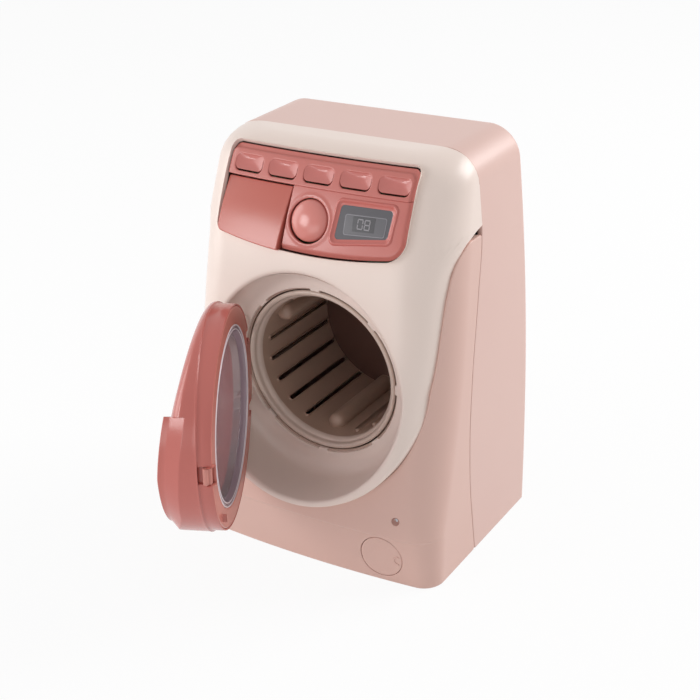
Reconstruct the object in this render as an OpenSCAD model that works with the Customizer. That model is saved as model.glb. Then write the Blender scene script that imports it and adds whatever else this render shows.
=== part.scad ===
// Toy washing machine: leaning cream front with a round bowl, geared drum, hinged round door,
// sliding soap drawer, five programme keys and a start button.
// Millimetres. X to the right seen from the front, -Y to the front, +Z up.
// The machine stands on Z = 0 and its axis is the middle of the base.

/* [Cabinet] */
// height of the whole cabinet
height = 250; // [240:1:260]
// half width of the cabinet at the floor
half_base = 89.2; // [87:0.1:90]
// half width where the cabinet is widest
half_mid = 90.2; // [90:0.1:92]
// half width the top would have before its edge is rounded
half_top = 82.5; // [81:0.1:84]
// height where the cabinet is widest
widest_at = 85; // [75:1:95]
// distance from the middle of the base to the back face
back_y = 64.5; // [63:0.5:68]
// radius of the long top edges at the left and right
top_edge_r = 18.4; // [16:0.2:20]
// how far the middle of the front stands ahead of its sides
bow = 5; // [4:0.5:6]
// wall thickness of the moulded shells
wall = 2.5; // [2:0.1:2.8]
// radius of the upright edges at the back
back_edge_r = 4; // [3:0.5:6]

/* [Pink front] */
// how far ahead of the middle the foot of the front stands
foot_front = 64.6; // [63:0.2:66]
// how far ahead of the middle the crease above the plinth stands
crease_front = 67; // [66:0.2:68]
// height of the crease above the plinth
crease_z = 33; // [30:1:36]
// lean of the pink front above the crease, in mm back for each mm up
front_slope = 0.1715; // [0.16:0.0005:0.18]
// distance from the top of the cabinet to where the pink sides end under the cream panel
shoulder_drop = 45; // [43:0.5:47]
// place of the seam between the cream panel and the rear casing on the top
seam_y = 8.7; // [7:0.1:10]
// place of the filter cover from the middle of the machine
filter_x = 56; // [54:0.5:57]
// height of the middle of the filter cover
filter_z = 17; // [16.5:0.5:17.5]
// radius of the filter cover
filter_r = 13.4; // [12.5:0.1:13.6]
// distance of the front screws to either side of the middle
front_screw_x = 66; // [64:0.5:67]
// height of the front screws
front_screw_z = 44; // [43:0.5:46]
// gap between neighbouring shells
shell_gap = 0.3; // [0.2:0.05:0.4]

/* [Cream panel] */
// how far ahead of the middle the cream face stands at the height of the drum axis
face_front = 60.6; // [60:0.1:61.5]
// lean of the straight lower face in degrees
face_lean = 11; // [10.5:0.1:11.5]
// lean of the face at its top in degrees
brow_lean = 32; // [31:0.5:33]
// distance from the top of the cabinet to where the face starts to curve back
brow_drop = 78; // [76:1:80]
// radius of the curved brow
brow_r = 197; // [190:1:204]
// radius of the round lower end of the cream panel
bib_r = 79; // [78:0.2:79.4]
// height of the middle of that round end
bib_z = 123; // [122:0.5:124]

/* [Bowl and drum] */
// height of the drum axis
drum_z = 114.7; // [114:0.1:115.5]
// place of the flat floor of the bowl
bowl_floor_y = -36; // [-37:0.1:-35]
// radius of the bowl wall
bowl_r = 66.3; // [66:0.1:67]
// radius of the sweep between the bowl floor and its wall
bowl_sweep_r = 10; // [9:0.5:10.5]
// wall thickness of the bowl
bowl_wall = 2; // [1.6:0.1:2.2]
// radius of the round mouth between its tabs
mouth_r = 53.6; // [53.2:0.1:54]
// radius of the front lip of the drum
drum_lip_r = 51.5; // [51:0.1:51.8]
// radius inside the drum
drum_inner_r = 46; // [45:0.1:46.4]
// wall thickness of the drum
drum_wall = 1.6; // [1.4:0.1:1.8]
// place of the back of the drum
drum_back_y = 46; // [44:0.5:46.5]
// radius of the rounded lifters in the drum
lifter_r = 5.5; // [4.5:0.1:6]
// angle between two neighbouring slots in the drum
slot_pitch = 18; // [17:0.5:19]
// width of a slot in the drum
slot_wide = 2.2; // [1.8:0.1:3]

/* [Door] */
// angle the door stands open at rest
door_open = 64.1; // [60:0.1:68]
// distance of the hinge pin to the left of the drum axis
hinge_x = 53; // [52.5:0.1:53.5]
// distance of the hinge pin ahead of the middle of the base
hinge_front = 64.1; // [63.8:0.1:64.5]
// radius of the door
door_r = 65.2; // [64.8:0.1:65.3]
// height of the middle of the closed door
door_z = 114.2; // [113.8:0.1:114.7]
// place of the inner face of the closed door
door_inner_y = -46.5; // [-47:0.1:-46.4]
// lean of the inner face in degrees
door_lean = 1.9; // [1.5:0.1:2]
// angle between the inner and the outer face in degrees
door_wedge = 6.3; // [6:0.1:6.6]
// thickness of the door ring at its middle height
door_thick = 25.9; // [25.5:0.1:26.1]
// radius of the round shoulder between the side and the outer face of the door
door_shoulder_r = 12; // [11.5:0.1:12]
// radius of the opening in the door
window_r = 52; // [51:0.1:53]
// radius of the circle of the door screw
door_screw_at = 58.9; // [58.6:0.1:59.2]
// distance from the hinge pin to the bevel on the door behind it
hinge_relief = 2.2; // [2.1:0.1:2.6]
// radius of the steel hinge pin
hinge_pin_r = 1.5; // [1.4:0.05:1.6]

/* [Control panel] */
// half width of the control panel
panel_half = 62.6; // [62:0.1:63]
// distance from the top of the cabinet to the top edge of the control panel
panel_top_drop = 5.6; // [5.2:0.1:6]
// distance from the top of the cabinet to the bottom edge of the control panel
panel_bottom_drop = 57; // [56:0.1:58]
// distance from the top of the cabinet to the line between the key strip and the lower panel
strip_drop = 21; // [20.5:0.1:22]
// distance from one programme key to the next
key_pitch = 24.4; // [24:0.1:24.8]
// width of a programme key
key_wide = 19.6; // [18:0.1:20]
// length of a programme key up the slope
key_tall = 10.2; // [9.6:0.1:10.4]
// distance from the top of the cabinet to the middle of the programme keys
key_drop = 14.5; // [14:0.1:15]
// gap round a key or the button
key_gap = 0.35; // [0.3:0.05:0.4]
// radius of the start button
button_r = 10.8; // [10:0.1:11]
// distance from the top of the cabinet to the middle of the start button
button_drop = 38.6; // [38:0.1:39]
// place of the display from the middle of the machine
display_x = 34.6; // [34:0.1:35]
// distance from the top of the cabinet to the middle of the display
display_drop = 35.6; // [35:0.1:36]
// place of the left edge of the soap drawer front
drawer_left = -62.2; // [-62.3:0.1:-61.5]
// place of the right edge of the soap drawer front
drawer_right = -15.6; // [-16.5:0.1:-15.4]

/* [Drive] */
// tooth size of the gears
gear_module = 1.25; // [1.2:0.05:1.25]
// teeth on the drum gear
drum_teeth = 56; // [56:1:56]
// teeth on the middle gear
middle_teeth = 24; // [24:1:24]
// teeth on the motor gear
motor_teeth = 10; // [10:1:10]
// thickness of the gears
gear_thick = 4.5; // [4:0.1:4.8]
// radius of the drum axle
axle_r = 3; // [2.8:0.1:3.2]
// running clearance round a shaft
run_gap = 0.05; // [0.03:0.01:0.08]
// radius of the motor
motor_r = 10; // [9.5:0.1:10.4]

/* [Base] */
// thickness of the base plate
plate_thick = 2.5; // [2:0.1:3]
// radius of a battery cell
cell_r = 7.1; // [7:0.05:7.15]
// length of a battery cell
cell_long = 50; // [49.5:0.1:50.3]
// radius of a rubber foot
foot_r = 7; // [6:0.5:8]

/* [Hidden] */
shoulder_z = height - shoulder_drop;
// stretch of the side curves, whose heights are given for a shoulder at 205
rise = shoulder_z / 205;
panel_top = height - panel_top_drop;
panel_bottom = height - panel_bottom_drop;
strip_z = height - strip_drop;
key_z = height - key_drop;
button_z = height - button_drop;
display_z = height - display_drop;
// place of the middle of the curved brow
brow_start = height - brow_drop;
brow_y0 = -face_front + tan(face_lean) * (brow_start - drum_z);
brow_cy = brow_y0 + brow_r * cos(face_lean);
brow_cz = brow_start - brow_r * sin(face_lean);
// place of the small rounding between the brow and the top
edge_z0 = brow_cz + brow_r * sin(brow_lean);
edge_r = (height - edge_z0) / (1 - sin(brow_lean));
edge_cy = brow_cy - brow_r * cos(brow_lean) + edge_r * cos(brow_lean);
edge_cz = height - edge_r;
front_screw_y = pink_y(front_screw_z, 0) + bow * pow(front_screw_x / 90, 2) + 1.3;
gear_front_y = 49.5;
plate_y = 57;
// catch on the free side of the door, a little below its middle
catch_angle = -1.5;
catch_z = door_z + door_r * sin(catch_angle);
// top of the finger pull
pull_top = 28.2;
drum_gear_r = gear_module * drum_teeth / 2;
middle_gear_r = gear_module * middle_teeth / 2;
motor_gear_r = gear_module * motor_teeth / 2;
middle_x = (drum_gear_r + middle_gear_r) * cos(45);
middle_z = drum_z - middle_x;
motor_x = middle_x + (middle_gear_r + motor_gear_r) * cos(45);
motor_z = middle_z - (middle_gear_r + motor_gear_r) * cos(45);
panel_mid = height - 38;
speaker_x = -45;
speaker_z = shoulder_z - 5;
speaker_r = 15;
// depth and widening of the bowl wall, rounded off towards its rim
bowl_flare = [[62, 0.85], [64.5, 1.7], [66.5, 2.6], [100, 3.2]];
// cylinder that bulges the drawer front, a little behind the brow at the key strip
drawer_r = 150;
drawer_back = 1.4;
drawer_cz = height - 113;
drawer_cy = brow_cy + drawer_back - sqrt(pow(brow_r, 2) - pow(strip_z - brow_cz, 2))
    + sqrt(pow(drawer_r, 2) - pow(strip_z - drawer_cz, 2));
$fn = 64;

pink = "#dcb9b4";
rear_pink = "#d9b6b0";
cream = "#eadfd6";
coral = "#e0a09c";
deep_coral = "#c77a72";
drum_cream = "#dccabf";
label_grey = "#77716e";
digit_grey = "#c9c4c1";
white = "#f2efe9";
steel = "#b9bcc0";
dark = "#3b3433";

// ---- outline of the cabinet ----

// half width at one height, set in by t
function half_width(z, t) =
    let (m = z > widest_at
        ? half_mid - (half_mid - half_top) * pow((z - widest_at) / (height - widest_at), 2)
        : half_mid - (half_mid - half_base) * pow((widest_at - z) / widest_at, 2),
        r = top_edge_r - t,
        k = min(max(z - (height - top_edge_r), 0), r))
    m - t - (r - sqrt(r * r - k * k));

// cream face in the middle of the machine, set in by t
function cream_y(z, t) =
    z < brow_cz + (brow_r - t) * sin(face_lean)
        ? -face_front + tan(face_lean) * (z - drum_z) + t / cos(face_lean)
    : z < edge_cz + (edge_r - t) * sin(brow_lean)
        ? brow_cy - sqrt(pow(brow_r - t, 2) - pow(z - brow_cz, 2))
    : edge_cy - sqrt(max(0, pow(edge_r - t, 2) - pow(z - edge_cz, 2)));

// pink front in the middle of the machine, set in by t
function pink_y(z, t) =
    z < crease_z ? -foot_front - (crease_front - foot_front) * z / crease_z + t
    : z < shoulder_z ? -crease_front + (z - crease_z) * front_slope + t
    : max(cream_y(z, t), -crease_front + (shoulder_z - crease_z) * front_slope + t);

// radius of the upright corners of the pink front
function pink_corner(z) = lookup(z, concat(
    [for (k = [[0, 12], [60, 20], [125, 26], [175, 28]]) [k[0] * rise, k[1]]], top_corners()));

// corner radii from the shoulder to the top, shared by the pink shells and the cream panel
function top_corners() = [for (k = [[0, 31], [17, 29], [31, 25], [45, 22]]) [shoulder_z + k[0], k[1]]];

// radius of the upright corners of the cream panel
function cream_corner(z) = lookup(z, concat(
    [for (k = [[40, 20], [125, 20], [160, 23], [185, 27]]) [k[0] * rise, k[1]]], top_corners()));

// half width of the cream panel, which is narrower than the cabinet below the shoulder
function cream_half(z, t) =
    min(half_width(z, t), lookup(z / rise, [[40, 78.5], [120, 79.4], [130, 80.6], [142, 81.4], [163, 81.9],
        [180, 82.6], [193, 83.9], [199, 85.4], [205, 100]]) - t);

function outline(w, r, yf, yb, rb) =
    let (xc = w - r, y1 = yf + bow * pow(xc / 90, 2),
        right = concat(
            [for (i = [0:3]) [i / 3 * xc, yf + bow * pow(i / 3 * xc / 90, 2)]],
            [for (i = [1:6]) [xc + r * sin(15 * i), y1 + r * (1 - cos(15 * i))]],
            [for (i = [0:3]) [w - rb + rb * cos(30 * i), yb - rb + rb * sin(30 * i)]]))
    concat(right, [for (i = [len(right) - 1:-1:1]) [-right[i][0], right[i][1]]]);

// solid skin through outlines at the listed heights
module skin(zs, rows) {
    n = len(rows[0]);
    m = len(zs);
    pts = [for (j = [0:m - 1]) for (p = rows[j]) [p[0], p[1], zs[j]]];
    sides = [for (j = [0:m - 2]) for (i = [0:n - 1])
        let (a = j * n + i, b = j * n + (i + 1) % n)
        each [[a, a + n, b + n], [a, b + n, b]]];
    polyhedron(pts, concat([[for (i = [0:n - 1]) i]], sides,
        [[for (i = [n - 1:-1:0]) (m - 1) * n + i]]), convexity = 4);
}

function round_levels(t) = [for (a = [15:15:75]) height - top_edge_r + (top_edge_r - t) * sin(a)];

// the whole cabinet as the pink shells see it, set in by t
module pink_body(t, low = 0) {
    zs = concat([low, crease_z], [for (z = [62, 95, 128, 160, 186]) z * rise],
        [for (k = [0, 11, 21]) shoulder_z + k], round_levels(t), [height - t - 0.02]);
    skin(zs, [for (z = zs) outline(half_width(z, t), pink_corner(z) - t, pink_y(z, t),
        back_y - t, back_edge_r - t * 0.5)]);
}

// the leaning body behind the cream panel, set in by t
module cream_body(t, low = 40) {
    zs = concat([low], [for (z = [90, 120, 130, 142, 163, 172, 180, 193, 199, 203.5]) z * rise],
        [for (k = [0, 7, 14, 21]) shoulder_z + k], round_levels(t), [height - t - 0.02]);
    skin(zs, [for (z = zs) outline(cream_half(z, t), cream_corner(z) - t, cream_y(z, t),
        back_y - t, back_edge_r - t * 0.5)]);
}

// flat shape seen from the front, pushed through the whole depth
module through_front() {
    translate([0, 100, 0]) rotate([90, 0, 0]) linear_extrude(height = 220) children();
}

// flat shape seen from the right side, Y across and Z up, pushed through the whole width
module through_side() {
    rotate([90, 0, 90]) translate([0, 0, -100]) linear_extrude(height = 200) children();
}

// outline of the cream panel seen from the front, grown by g
module bib(g) {
    translate([0, bib_z]) circle(r = bib_r + g, $fn = 96);
    polygon(concat(
        [for (k = [125, 130, 142, 163, 180, 193, 199]) [cream_half(k * rise, 0) + g, k * rise]],
        [[100, shoulder_z - g], [100, height + 50], [-100, height + 50], [-100, shoulder_z - g]],
        [for (k = [199, 193, 180, 163, 142, 130, 125]) [-cream_half(k * rise, 0) - g, k * rise]]));
}

// side view of the room the cream panel fills
module cream_side(g) {
    polygon([[-120, 30], [-54 + g, 30], [-36 + g, 125 * rise], [-30 + g, 160 * rise], [-22 + g, 188 * rise],
        [-20 + g, shoulder_z - 1.8 - g], [seam_y, shoulder_z + 3 - g], [seam_y, height + 50],
        [-120, height + 50]]);
}

// side view of everything behind the long seam, moved back by g
module rear_side(g) {
    polygon(concat([[seam_y + g, height + 50], [seam_y + g, shoulder_z + 3]],
        [for (k = [[7.6, 194], [0.8, 172], [-4, 152], [-8.5, 132], [-11.8, 112], [-14, 92], [-14.6, 70],
            [-13.6, 47], [-10.6, 25]]) [k[0] + g, k[1] * rise]],
        [[-6 + g, -1], [120, -1], [120, height + 50]]));
}

// turned shape about the drum axis, its local Z pointing back
module on_drum_axis() {
    translate([0, 0, drum_z]) rotate([-90, 0, 0]) children();
}

// place on the leaning control panel, local Z out of the panel and local Y up the slope
function lean_at(z) = asin((z - brow_cz) / brow_r);
module on_panel(x, z) {
    translate([x, cream_y(z, 0) + bow * pow(x / 90, 2), z]) rotate([0, 0, atan(2 * bow * x / 8100)])
        rotate([90 - lean_at(z), 0, 0]) children();
}

module soft_rect(w, h, r) {
    square([w - 2 * r, h], center = true);
    square([w, h - 2 * r], center = true);
    for (x = [-1, 1], y = [-1, 1]) translate([x * (w / 2 - r), y * (h / 2 - r)]) circle(r = r, $fn = 32);
}

// toothed wheel standing on the XY plane
module gear(teeth, thick, bore) {
    rp = gear_module * teeth / 2;
    q = 360 / teeth;
    linear_extrude(height = thick) difference() {
        polygon([for (i = [0:teeth - 1]) for (k = [[-0.30, -1.05], [-0.10, 0.62], [0.10, 0.62], [0.30, -1.05]])
            (rp + k[1] * gear_module) * [cos(q * (i + k[0])), sin(q * (i + k[0]))]]);
        circle(r = bore, $fn = 48);
    }
}

// ---- cabinet ----

screw_posts = [[74, 24], [-74, 24], [70, shoulder_z - 8], [-70, shoulder_z - 8]];

module rear_casing() color(rear_pink) {
    difference() {
        union() {
            intersection() {
                difference() {
                    pink_body(0);
                    pink_body(wall, -5);
                }
                through_side() rear_side(shell_gap / 2);
            }
            for (s = screw_posts) translate([s[0], 5, s[1]]) rotate([-90, 0, 0])
                cylinder(r = 4, h = back_y - wall - 4.5);
            for (s = [[0, drum_z + 22], [0, drum_z - 24], [60, 84], [26, 58]])
                translate([s[0], plate_y + 2.5, s[1]]) rotate([-90, 0, 0])
                cylinder(r = 3.2, h = back_y - plate_y - 3);
            // ring that holds the loudspeaker
            translate([speaker_x, back_y - wall - 3, speaker_z]) rotate([-90, 0, 0]) difference() {
                cylinder(r = speaker_r + 2, h = 3.5);
                translate([0, 0, -1]) cylinder(r = speaker_r + 0.4, h = 5);
            }
        }
        for (s = screw_posts) translate([s[0], 0, s[1]]) rotate([-90, 0, 0]) {
            cylinder(r = 1.7, h = 100, $fn = 24);
            translate([0, 0, back_y - 3.4]) cylinder(r = 3.4, h = 10, $fn = 32);
        }
        for (i = [-3:3]) translate([speaker_x + i * 3.6, back_y - 6, speaker_z]) rotate([-90, 0, 0])
            linear_extrude(height = 10) soft_rect(1.6, 2 * sqrt(150 - pow(i * 3.6, 2)), 0.79);
    }
}

module front_casing() color(pink) difference() {
    union() {
        difference() {
            intersection() {
                difference() {
                    pink_body(0);
                    pink_body(wall, -5);
                }
                through_side() difference() {
                    translate([-120, -5]) square([200, shoulder_z + 12]);
                    rear_side(-shell_gap / 2);
                    polygon([[-120, height + 50], [-120, shoulder_z - 2.1], [-19.6, shoulder_z - 2.1],
                        [seam_y + 1, shoulder_z + 2.8], [seam_y + 1, height + 50]]);
                }
            }
            intersection() {
                through_front() bib(shell_gap);
                through_side() cream_side(shell_gap);
            }
        }
        for (s = [screw_posts[0], screw_posts[1]]) translate([s[0], -61.6, s[1]]) rotate([-90, 0, 0])
            cylinder(r = 4, h = 66.2);
    }
    for (s = [screw_posts[0], screw_posts[1]]) translate([s[0], -10, s[1]]) rotate([-90, 0, 0])
        cylinder(r = 1.2, h = 20, $fn = 24);
    // sunk screw in the lower right of the front
    for (s = [-1, 1]) translate([s * front_screw_x, front_screw_y, front_screw_z]) rotate([90, 0, 0])
        cylinder(r = 2.5, h = 10, $fn = 32);
    // seat of the filter cover
    on_plinth() translate([0, 0, -2.1]) cylinder(r = filter_r + 0.4, h = 10);
}

// place on the plinth, local Z out of its face
module on_plinth() {
    translate([filter_x, pink_y(filter_z, 0) + bow * pow(filter_x / 90, 2), filter_z])
        rotate([0, 0, atan(2 * bow * filter_x / 8100)]) rotate([94.2, 0, 0]) children();
}

module filter_cover() color(pink) difference() {
    on_plinth() translate([0, 0, -2]) cylinder(r = filter_r, h = 2);
    on_plinth() translate([9.6, 0, 1]) sphere(r = 2.6, $fn = 32);
}

module bowl_solid(t) {
    // turned about the drum axis: floor, sweep and wall of the bowl, made thicker by t
    rotate([90, 0, 0]) translate([0, drum_z, 0]) rotate_extrude($fn = 128) {
        polygon(concat([[0, 100], [0, -bowl_floor_y - t]],
            [for (a = [0:15:90]) [bowl_r - bowl_sweep_r + (bowl_sweep_r + t) * sin(a),
                -bowl_floor_y + bowl_sweep_r - (bowl_sweep_r + t) * cos(a)]],
            [for (f = bowl_flare) [bowl_r + f[1] + t, f[0]]]));
    }
}

module panel_outline(g) {
    h = panel_top - panel_bottom;
    translate([0, panel_bottom + h / 2 + 8]) soft_rect(2 * panel_half + 2 * g, h - 16 + 2 * g, 5);
    translate([0, panel_bottom + h / 2 - 6]) soft_rect(2 * panel_half + 2 * g, h - 12 + 2 * g, 12);
}

module front_panel() color(cream) {
    difference() {
        intersection() {
            cream_body(0);
            union() {
                difference() {
                    union() {
                        intersection() {
                            through_side() cream_side(0);
                            through_front() bib(0);
                        }
                        bowl_solid(bowl_wall);
                    }
                    difference() {
                        cream_body(wall, 30);
                        bowl_solid(bowl_wall);
                        // lower rim and flanks of the cream panel
                        through_front() difference() {
                            bib(2);
                            bib(-wall);
                            translate([-100, bib_z]) square([200, 200]);
                        }
                    }
                }
            }
            through_front() bib(0);
            through_side() polygon([[-120, 30], [bowl_floor_y + bowl_wall, 30],
                [bowl_floor_y + bowl_wall, 130 * rise], [-30, 160 * rise], [-22, 188 * rise],
                [-20, shoulder_z - 5],
                [seam_y, shoulder_z - 5], [seam_y, height + 50], [-120, height + 50]]);
        }
        bowl_solid(0);
        // mouth with eight tabs
        on_drum_axis() translate([0, 0, -60]) linear_extrude(height = 60) difference() {
            circle(r = mouth_r, $fn = 96);
            for (a = [0:45:315]) rotate(a) translate([mouth_r, 0])
                square([2 * (mouth_r - drum_lip_r - 0.8), 6], center = true);
        }
        on_drum_axis() translate([0, 0, -60]) cylinder(r = drum_lip_r + 0.8, h = 60, $fn = 96);
        // room for the control panel
        through_front_panel() panel_outline(shell_gap);
        // slot for the door catch
        translate([62, door_inner_y - 5.6, catch_z - 6]) cube([5.6, 7.7, 12]);
    }
    // collar behind the mouth, close round the lip of the drum
    on_drum_axis() translate([0, 0, bowl_floor_y + bowl_wall - 0.1]) difference() {
        cylinder(r = mouth_r + 3, h = 1.9, $fn = 96);
        translate([0, 0, -1]) cylinder(r = drum_lip_r + 0.8, h = 5, $fn = 96);
    }
    // lugs that carry the hinge pin
    for (dz = [-24, 24]) difference() {
        translate([-hinge_x - 2.5, -hinge_front, drum_z + dz - 3.5])
            cube([5, hinge_front + bowl_floor_y + 0.6, 7]);
        translate([-hinge_x, -hinge_front, drum_z + dz - 5]) cylinder(r = 4, h = 10);
    }
    for (dz = [-24, 24]) difference() {
        translate([-hinge_x, -hinge_front, drum_z + dz - 3.5]) cylinder(r = 4, h = 7);
        translate([-hinge_x, -hinge_front, drum_z + dz - 5]) cylinder(r = hinge_pin_r, h = 10, $fn = 32);
    }
    for (s = [screw_posts[2], screw_posts[3]]) difference() {
        translate([s[0], -33, s[1]]) rotate([-90, 0, 0]) cylinder(r = 4, h = 37.6);
        translate([s[0], -10, s[1]]) rotate([-90, 0, 0]) cylinder(r = 1.2, h = 20, $fn = 24);
    }
}

// only the front skin is opened, never the rear
module through_front_panel() {
    translate([0, 2, 0]) rotate([90, 0, 0]) linear_extrude(height = 120) children();
}

module base_plate() color(pink) difference() {
    linear_extrude(height = plate_thick)
        polygon(outline(half_width(0, wall) - 0.3, pink_corner(0) - wall, pink_y(0, wall) + 0.3,
            back_y - wall - 0.3, 3));
    translate([-31.4, 9.6, -1]) cube([62.8, 48.8, 10]);
    for (x = [-1, 1], y = [-1, 1]) translate([x * 70, y * 46, -1]) cylinder(r = foot_r + 0.1, h = 2.2);
}

module rubber_feet() color(dark)
    for (x = [-1, 1], y = [-1, 1]) translate([x * 70, y * 46, 0]) cylinder(r = foot_r, h = 1.2);

module battery_box() color(dark) difference() {
    translate([-cell_long / 2 - 3, 10, 2.7]) cube([cell_long + 6, 48, 16.2]);
    translate([-cell_long / 2 - 1, 11.5, 1]) cube([cell_long + 2, 45, 16.2]);
}

module battery_door() color(pink) {
    difference() {
        translate([-31, 10, 0]) cube([62, 48, 2.3]);
        translate([0, 55.2, -1]) cylinder(r = 2.5, h = 1.9, $fn = 32);
    }
}

module battery_door_screw() color(steel) difference() {
    translate([0, 55.2, 0.1]) cylinder(r = 2.4, h = 0.8, $fn = 32);
    translate([-2, 54.9, -0.3]) cube([4, 0.6, 0.8]);
}

module battery_cells() color(steel) for (i = [-1, 0, 1]) {
    s = i == 0 ? -1 : 1;
    translate([-s * cell_long / 2, 34 + i * 14.6, cell_r + 2.7]) rotate([0, s * 90, 0]) {
        cylinder(r = cell_r, h = cell_long - 1.3);
        translate([0, 0, cell_long - 1.4]) cylinder(r = 2.6, h = 1.4, $fn = 32);
    }
}

module battery_contacts() color(steel) for (s = [-1, 1]) {
    for (y = [13.4, 28, 42.6]) translate([s * (cell_long / 2 + 0.55) - 0.25, y, 4.4]) cube([0.5, 12, 11]);
}

module casing_screws() color(steel) {
    for (s = screw_posts) translate([s[0], 0, s[1]]) rotate([-90, 0, 0]) difference() {
        union() {
            translate([0, 0, back_y - 3.3]) cylinder(r = 2.8, h = 1.8, $fn = 32);
            translate([0, 0, -6]) cylinder(r = 1.15, h = back_y - 1, $fn = 24);
        }
        translate([-2, -0.3, back_y - 2.2]) cube([4, 0.6, 3]);
        translate([-0.3, -2, back_y - 2.2]) cube([0.6, 4, 3]);
    }
    for (s = [-1, 1]) translate([s * front_screw_x, front_screw_y - 0.1, front_screw_z])
        rotate([90, 0, 0]) difference() {
        cylinder(r = 2.2, h = 0.8, $fn = 32);
        translate([-1.6, -0.25, 0.4]) cube([3.2, 0.5, 2]);
        translate([-0.25, -1.6, 0.4]) cube([0.5, 3.2, 2]);
    }
}

module speaker() color(dark) translate([speaker_x, back_y - wall - 0.2, speaker_z]) rotate([90, 0, 0]) {
    cylinder(r = speaker_r, h = 3);
    translate([0, 0, 2.9]) cylinder(r = 9, h = 6);
}

// ---- drive ----

module gear_plate() color(white) difference() {
    union() {
        translate([0, plate_y, drum_z]) rotate([-90, 0, 0]) linear_extrude(height = 2.5) {
            circle(r = 14);
            square([14, 60], center = true);
            rotate(45) translate([0, -7]) square([78, 14]);
            translate([18, 22]) square([52, 50]);
        }
        on_drum_axis() translate([0, 0, 55.2]) cylinder(r = 6, h = 5.2);
    }
    on_drum_axis() translate([0, 0, 50]) cylinder(r = axle_r + run_gap, h = 20);
    translate([middle_x, 50, middle_z]) rotate([-90, 0, 0]) cylinder(r = 1.5, h = 20, $fn = 32);
}

module middle_gear_pin() color(steel) translate([middle_x, 48.6, middle_z]) rotate([-90, 0, 0])
    cylinder(r = 1.5, h = plate_y + 2.5 - 48.6, $fn = 32);

module motor() color(steel) translate([motor_x, 0, motor_z]) rotate([-90, 0, 0]) {
    translate([0, 0, 16]) cylinder(r = motor_r, h = 30);
    translate([0, 0, 45.9]) cylinder(r = 3, h = 1.9, $fn = 32);
}

module motor_bracket() color(white) difference() {
    union() {
        translate([motor_x, 46.1, motor_z]) rotate([-90, 0, 0]) linear_extrude(height = 2) {
            circle(r = 10);
            rotate(-28) translate([0, -4]) square([16, 8]);
            rotate(118) translate([0, -4]) square([17, 8]);
            rotate(-28) translate([16, 0]) circle(r = 4);
            rotate(118) translate([17, 0]) circle(r = 4);
        }
        for (a = [[-28, 16], [118, 17]]) translate([motor_x + a[1] * cos(a[0]), 48, motor_z - a[1] * sin(a[0])])
            rotate([-90, 0, 0]) cylinder(r = 2.5, h = plate_y - 48);
    }
    translate([motor_x, 40, motor_z]) rotate([-90, 0, 0]) cylinder(r = 3.2, h = 20, $fn = 32);
}

module drum_gear() color(white) translate([0, gear_front_y, drum_z]) rotate([-90, 0, 0])
    gear(drum_teeth, gear_thick, axle_r);

module middle_gear() color(white) translate([middle_x, gear_front_y, middle_z]) rotate([-90, 7.5, 0])
    gear(middle_teeth, gear_thick, 1.5 + run_gap);

module motor_gear() color(white)
    translate([motor_x, gear_front_y, motor_z]) rotate([-90, 0, 0]) rotate([0, 0, 9]) {
    gear(motor_teeth, gear_thick, 1);
    translate([0, 0, -1.6]) cylinder(r = 1, h = gear_thick + 2.4, $fn = 32);
}

// ---- drum ----

module drum_shell() color(drum_cream) on_drum_axis() difference() {
    union() {
        rotate_extrude($fn = 128) polygon([[drum_inner_r, drum_back_y], [drum_inner_r, -30],
            [drum_inner_r + 1, -31.5], [drum_inner_r + 2.2, -31.5], [drum_inner_r + 2.2, -34],
            [drum_inner_r + 3, -35], [drum_lip_r, -35], [drum_lip_r, -32.5], [drum_inner_r + drum_wall, -28.5],
            [drum_inner_r + drum_wall, drum_back_y]]);
        intersection() {
            for (a = [27, 147, 267]) rotate([0, 0, -a]) translate([drum_inner_r - 2, 0, -19.5])
                linear_extrude(height = drum_back_y + 19.5)
                polygon([for (t = [7.5:15:352.5]) lifter_r * [cos(t), sin(t)]]);
            // sloped noses of the lifters
            rotate_extrude($fn = 128) polygon([[30, 60], [30, -10], [39, -14], [41, -17], [43, -18.6],
                [45, -19.4], [drum_inner_r + 0.8, -19.4], [drum_inner_r + 0.8, 60]]);
        }
    }
    for (g = [-153, 87, -33], i = [-2:2]) rotate([0, 0, -(g + i * slot_pitch)])
        translate([drum_inner_r - 3, -slot_wide / 2, -22]) cube([8, slot_wide, drum_back_y + 14]);
}

module drum_back() color(drum_cream) on_drum_axis() difference() {
    union() {
        translate([0, 0, drum_back_y]) cylinder(r = drum_inner_r + drum_wall, h = 2, $fn = 128);
        translate([0, 0, drum_back_y - 3]) cylinder(r = 9, h = 4);
    }
    translate([0, 0, drum_back_y - 4]) cylinder(r = axle_r, h = 20);
    for (a = [0:60:300]) rotate([0, 0, a]) translate([26, 0, drum_back_y - 1]) cylinder(r = 3, h = 5, $fn = 32);
}

module drum_axle() color(steel) on_drum_axis() translate([0, 0, drum_back_y - 2.4])
    cylinder(r = axle_r, h = 60.9 - drum_back_y + 2.4 - 0.3);

// ---- door, drawn closed and then swung to its rest ----

module swung() {
    translate([-hinge_x, -hinge_front, 0]) rotate([0, 0, -door_open])
        translate([hinge_x, hinge_front, 0]) children();
}

// local Z runs out of the closed door, local Y up
module on_door() {
    translate([0, door_inner_y, door_z]) rotate([90 - door_lean, 0, 0]) children();
}

// place of the one screw that holds the inner ring
module at_door_screw() {
    on_door() rotate([0, 0, -45]) translate([door_screw_at, 0, 0]) children();
}

module hinge_room() {
    for (dz = [-24, 24]) {
        translate([-hinge_x - 16, -hinge_front - 4.8, drum_z + dz - 4]) cube([19.5, 40, 8]);
        translate([-hinge_x, -hinge_front, drum_z + dz - 4]) cylinder(r = 4.8, h = 8);
    }
}

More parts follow.
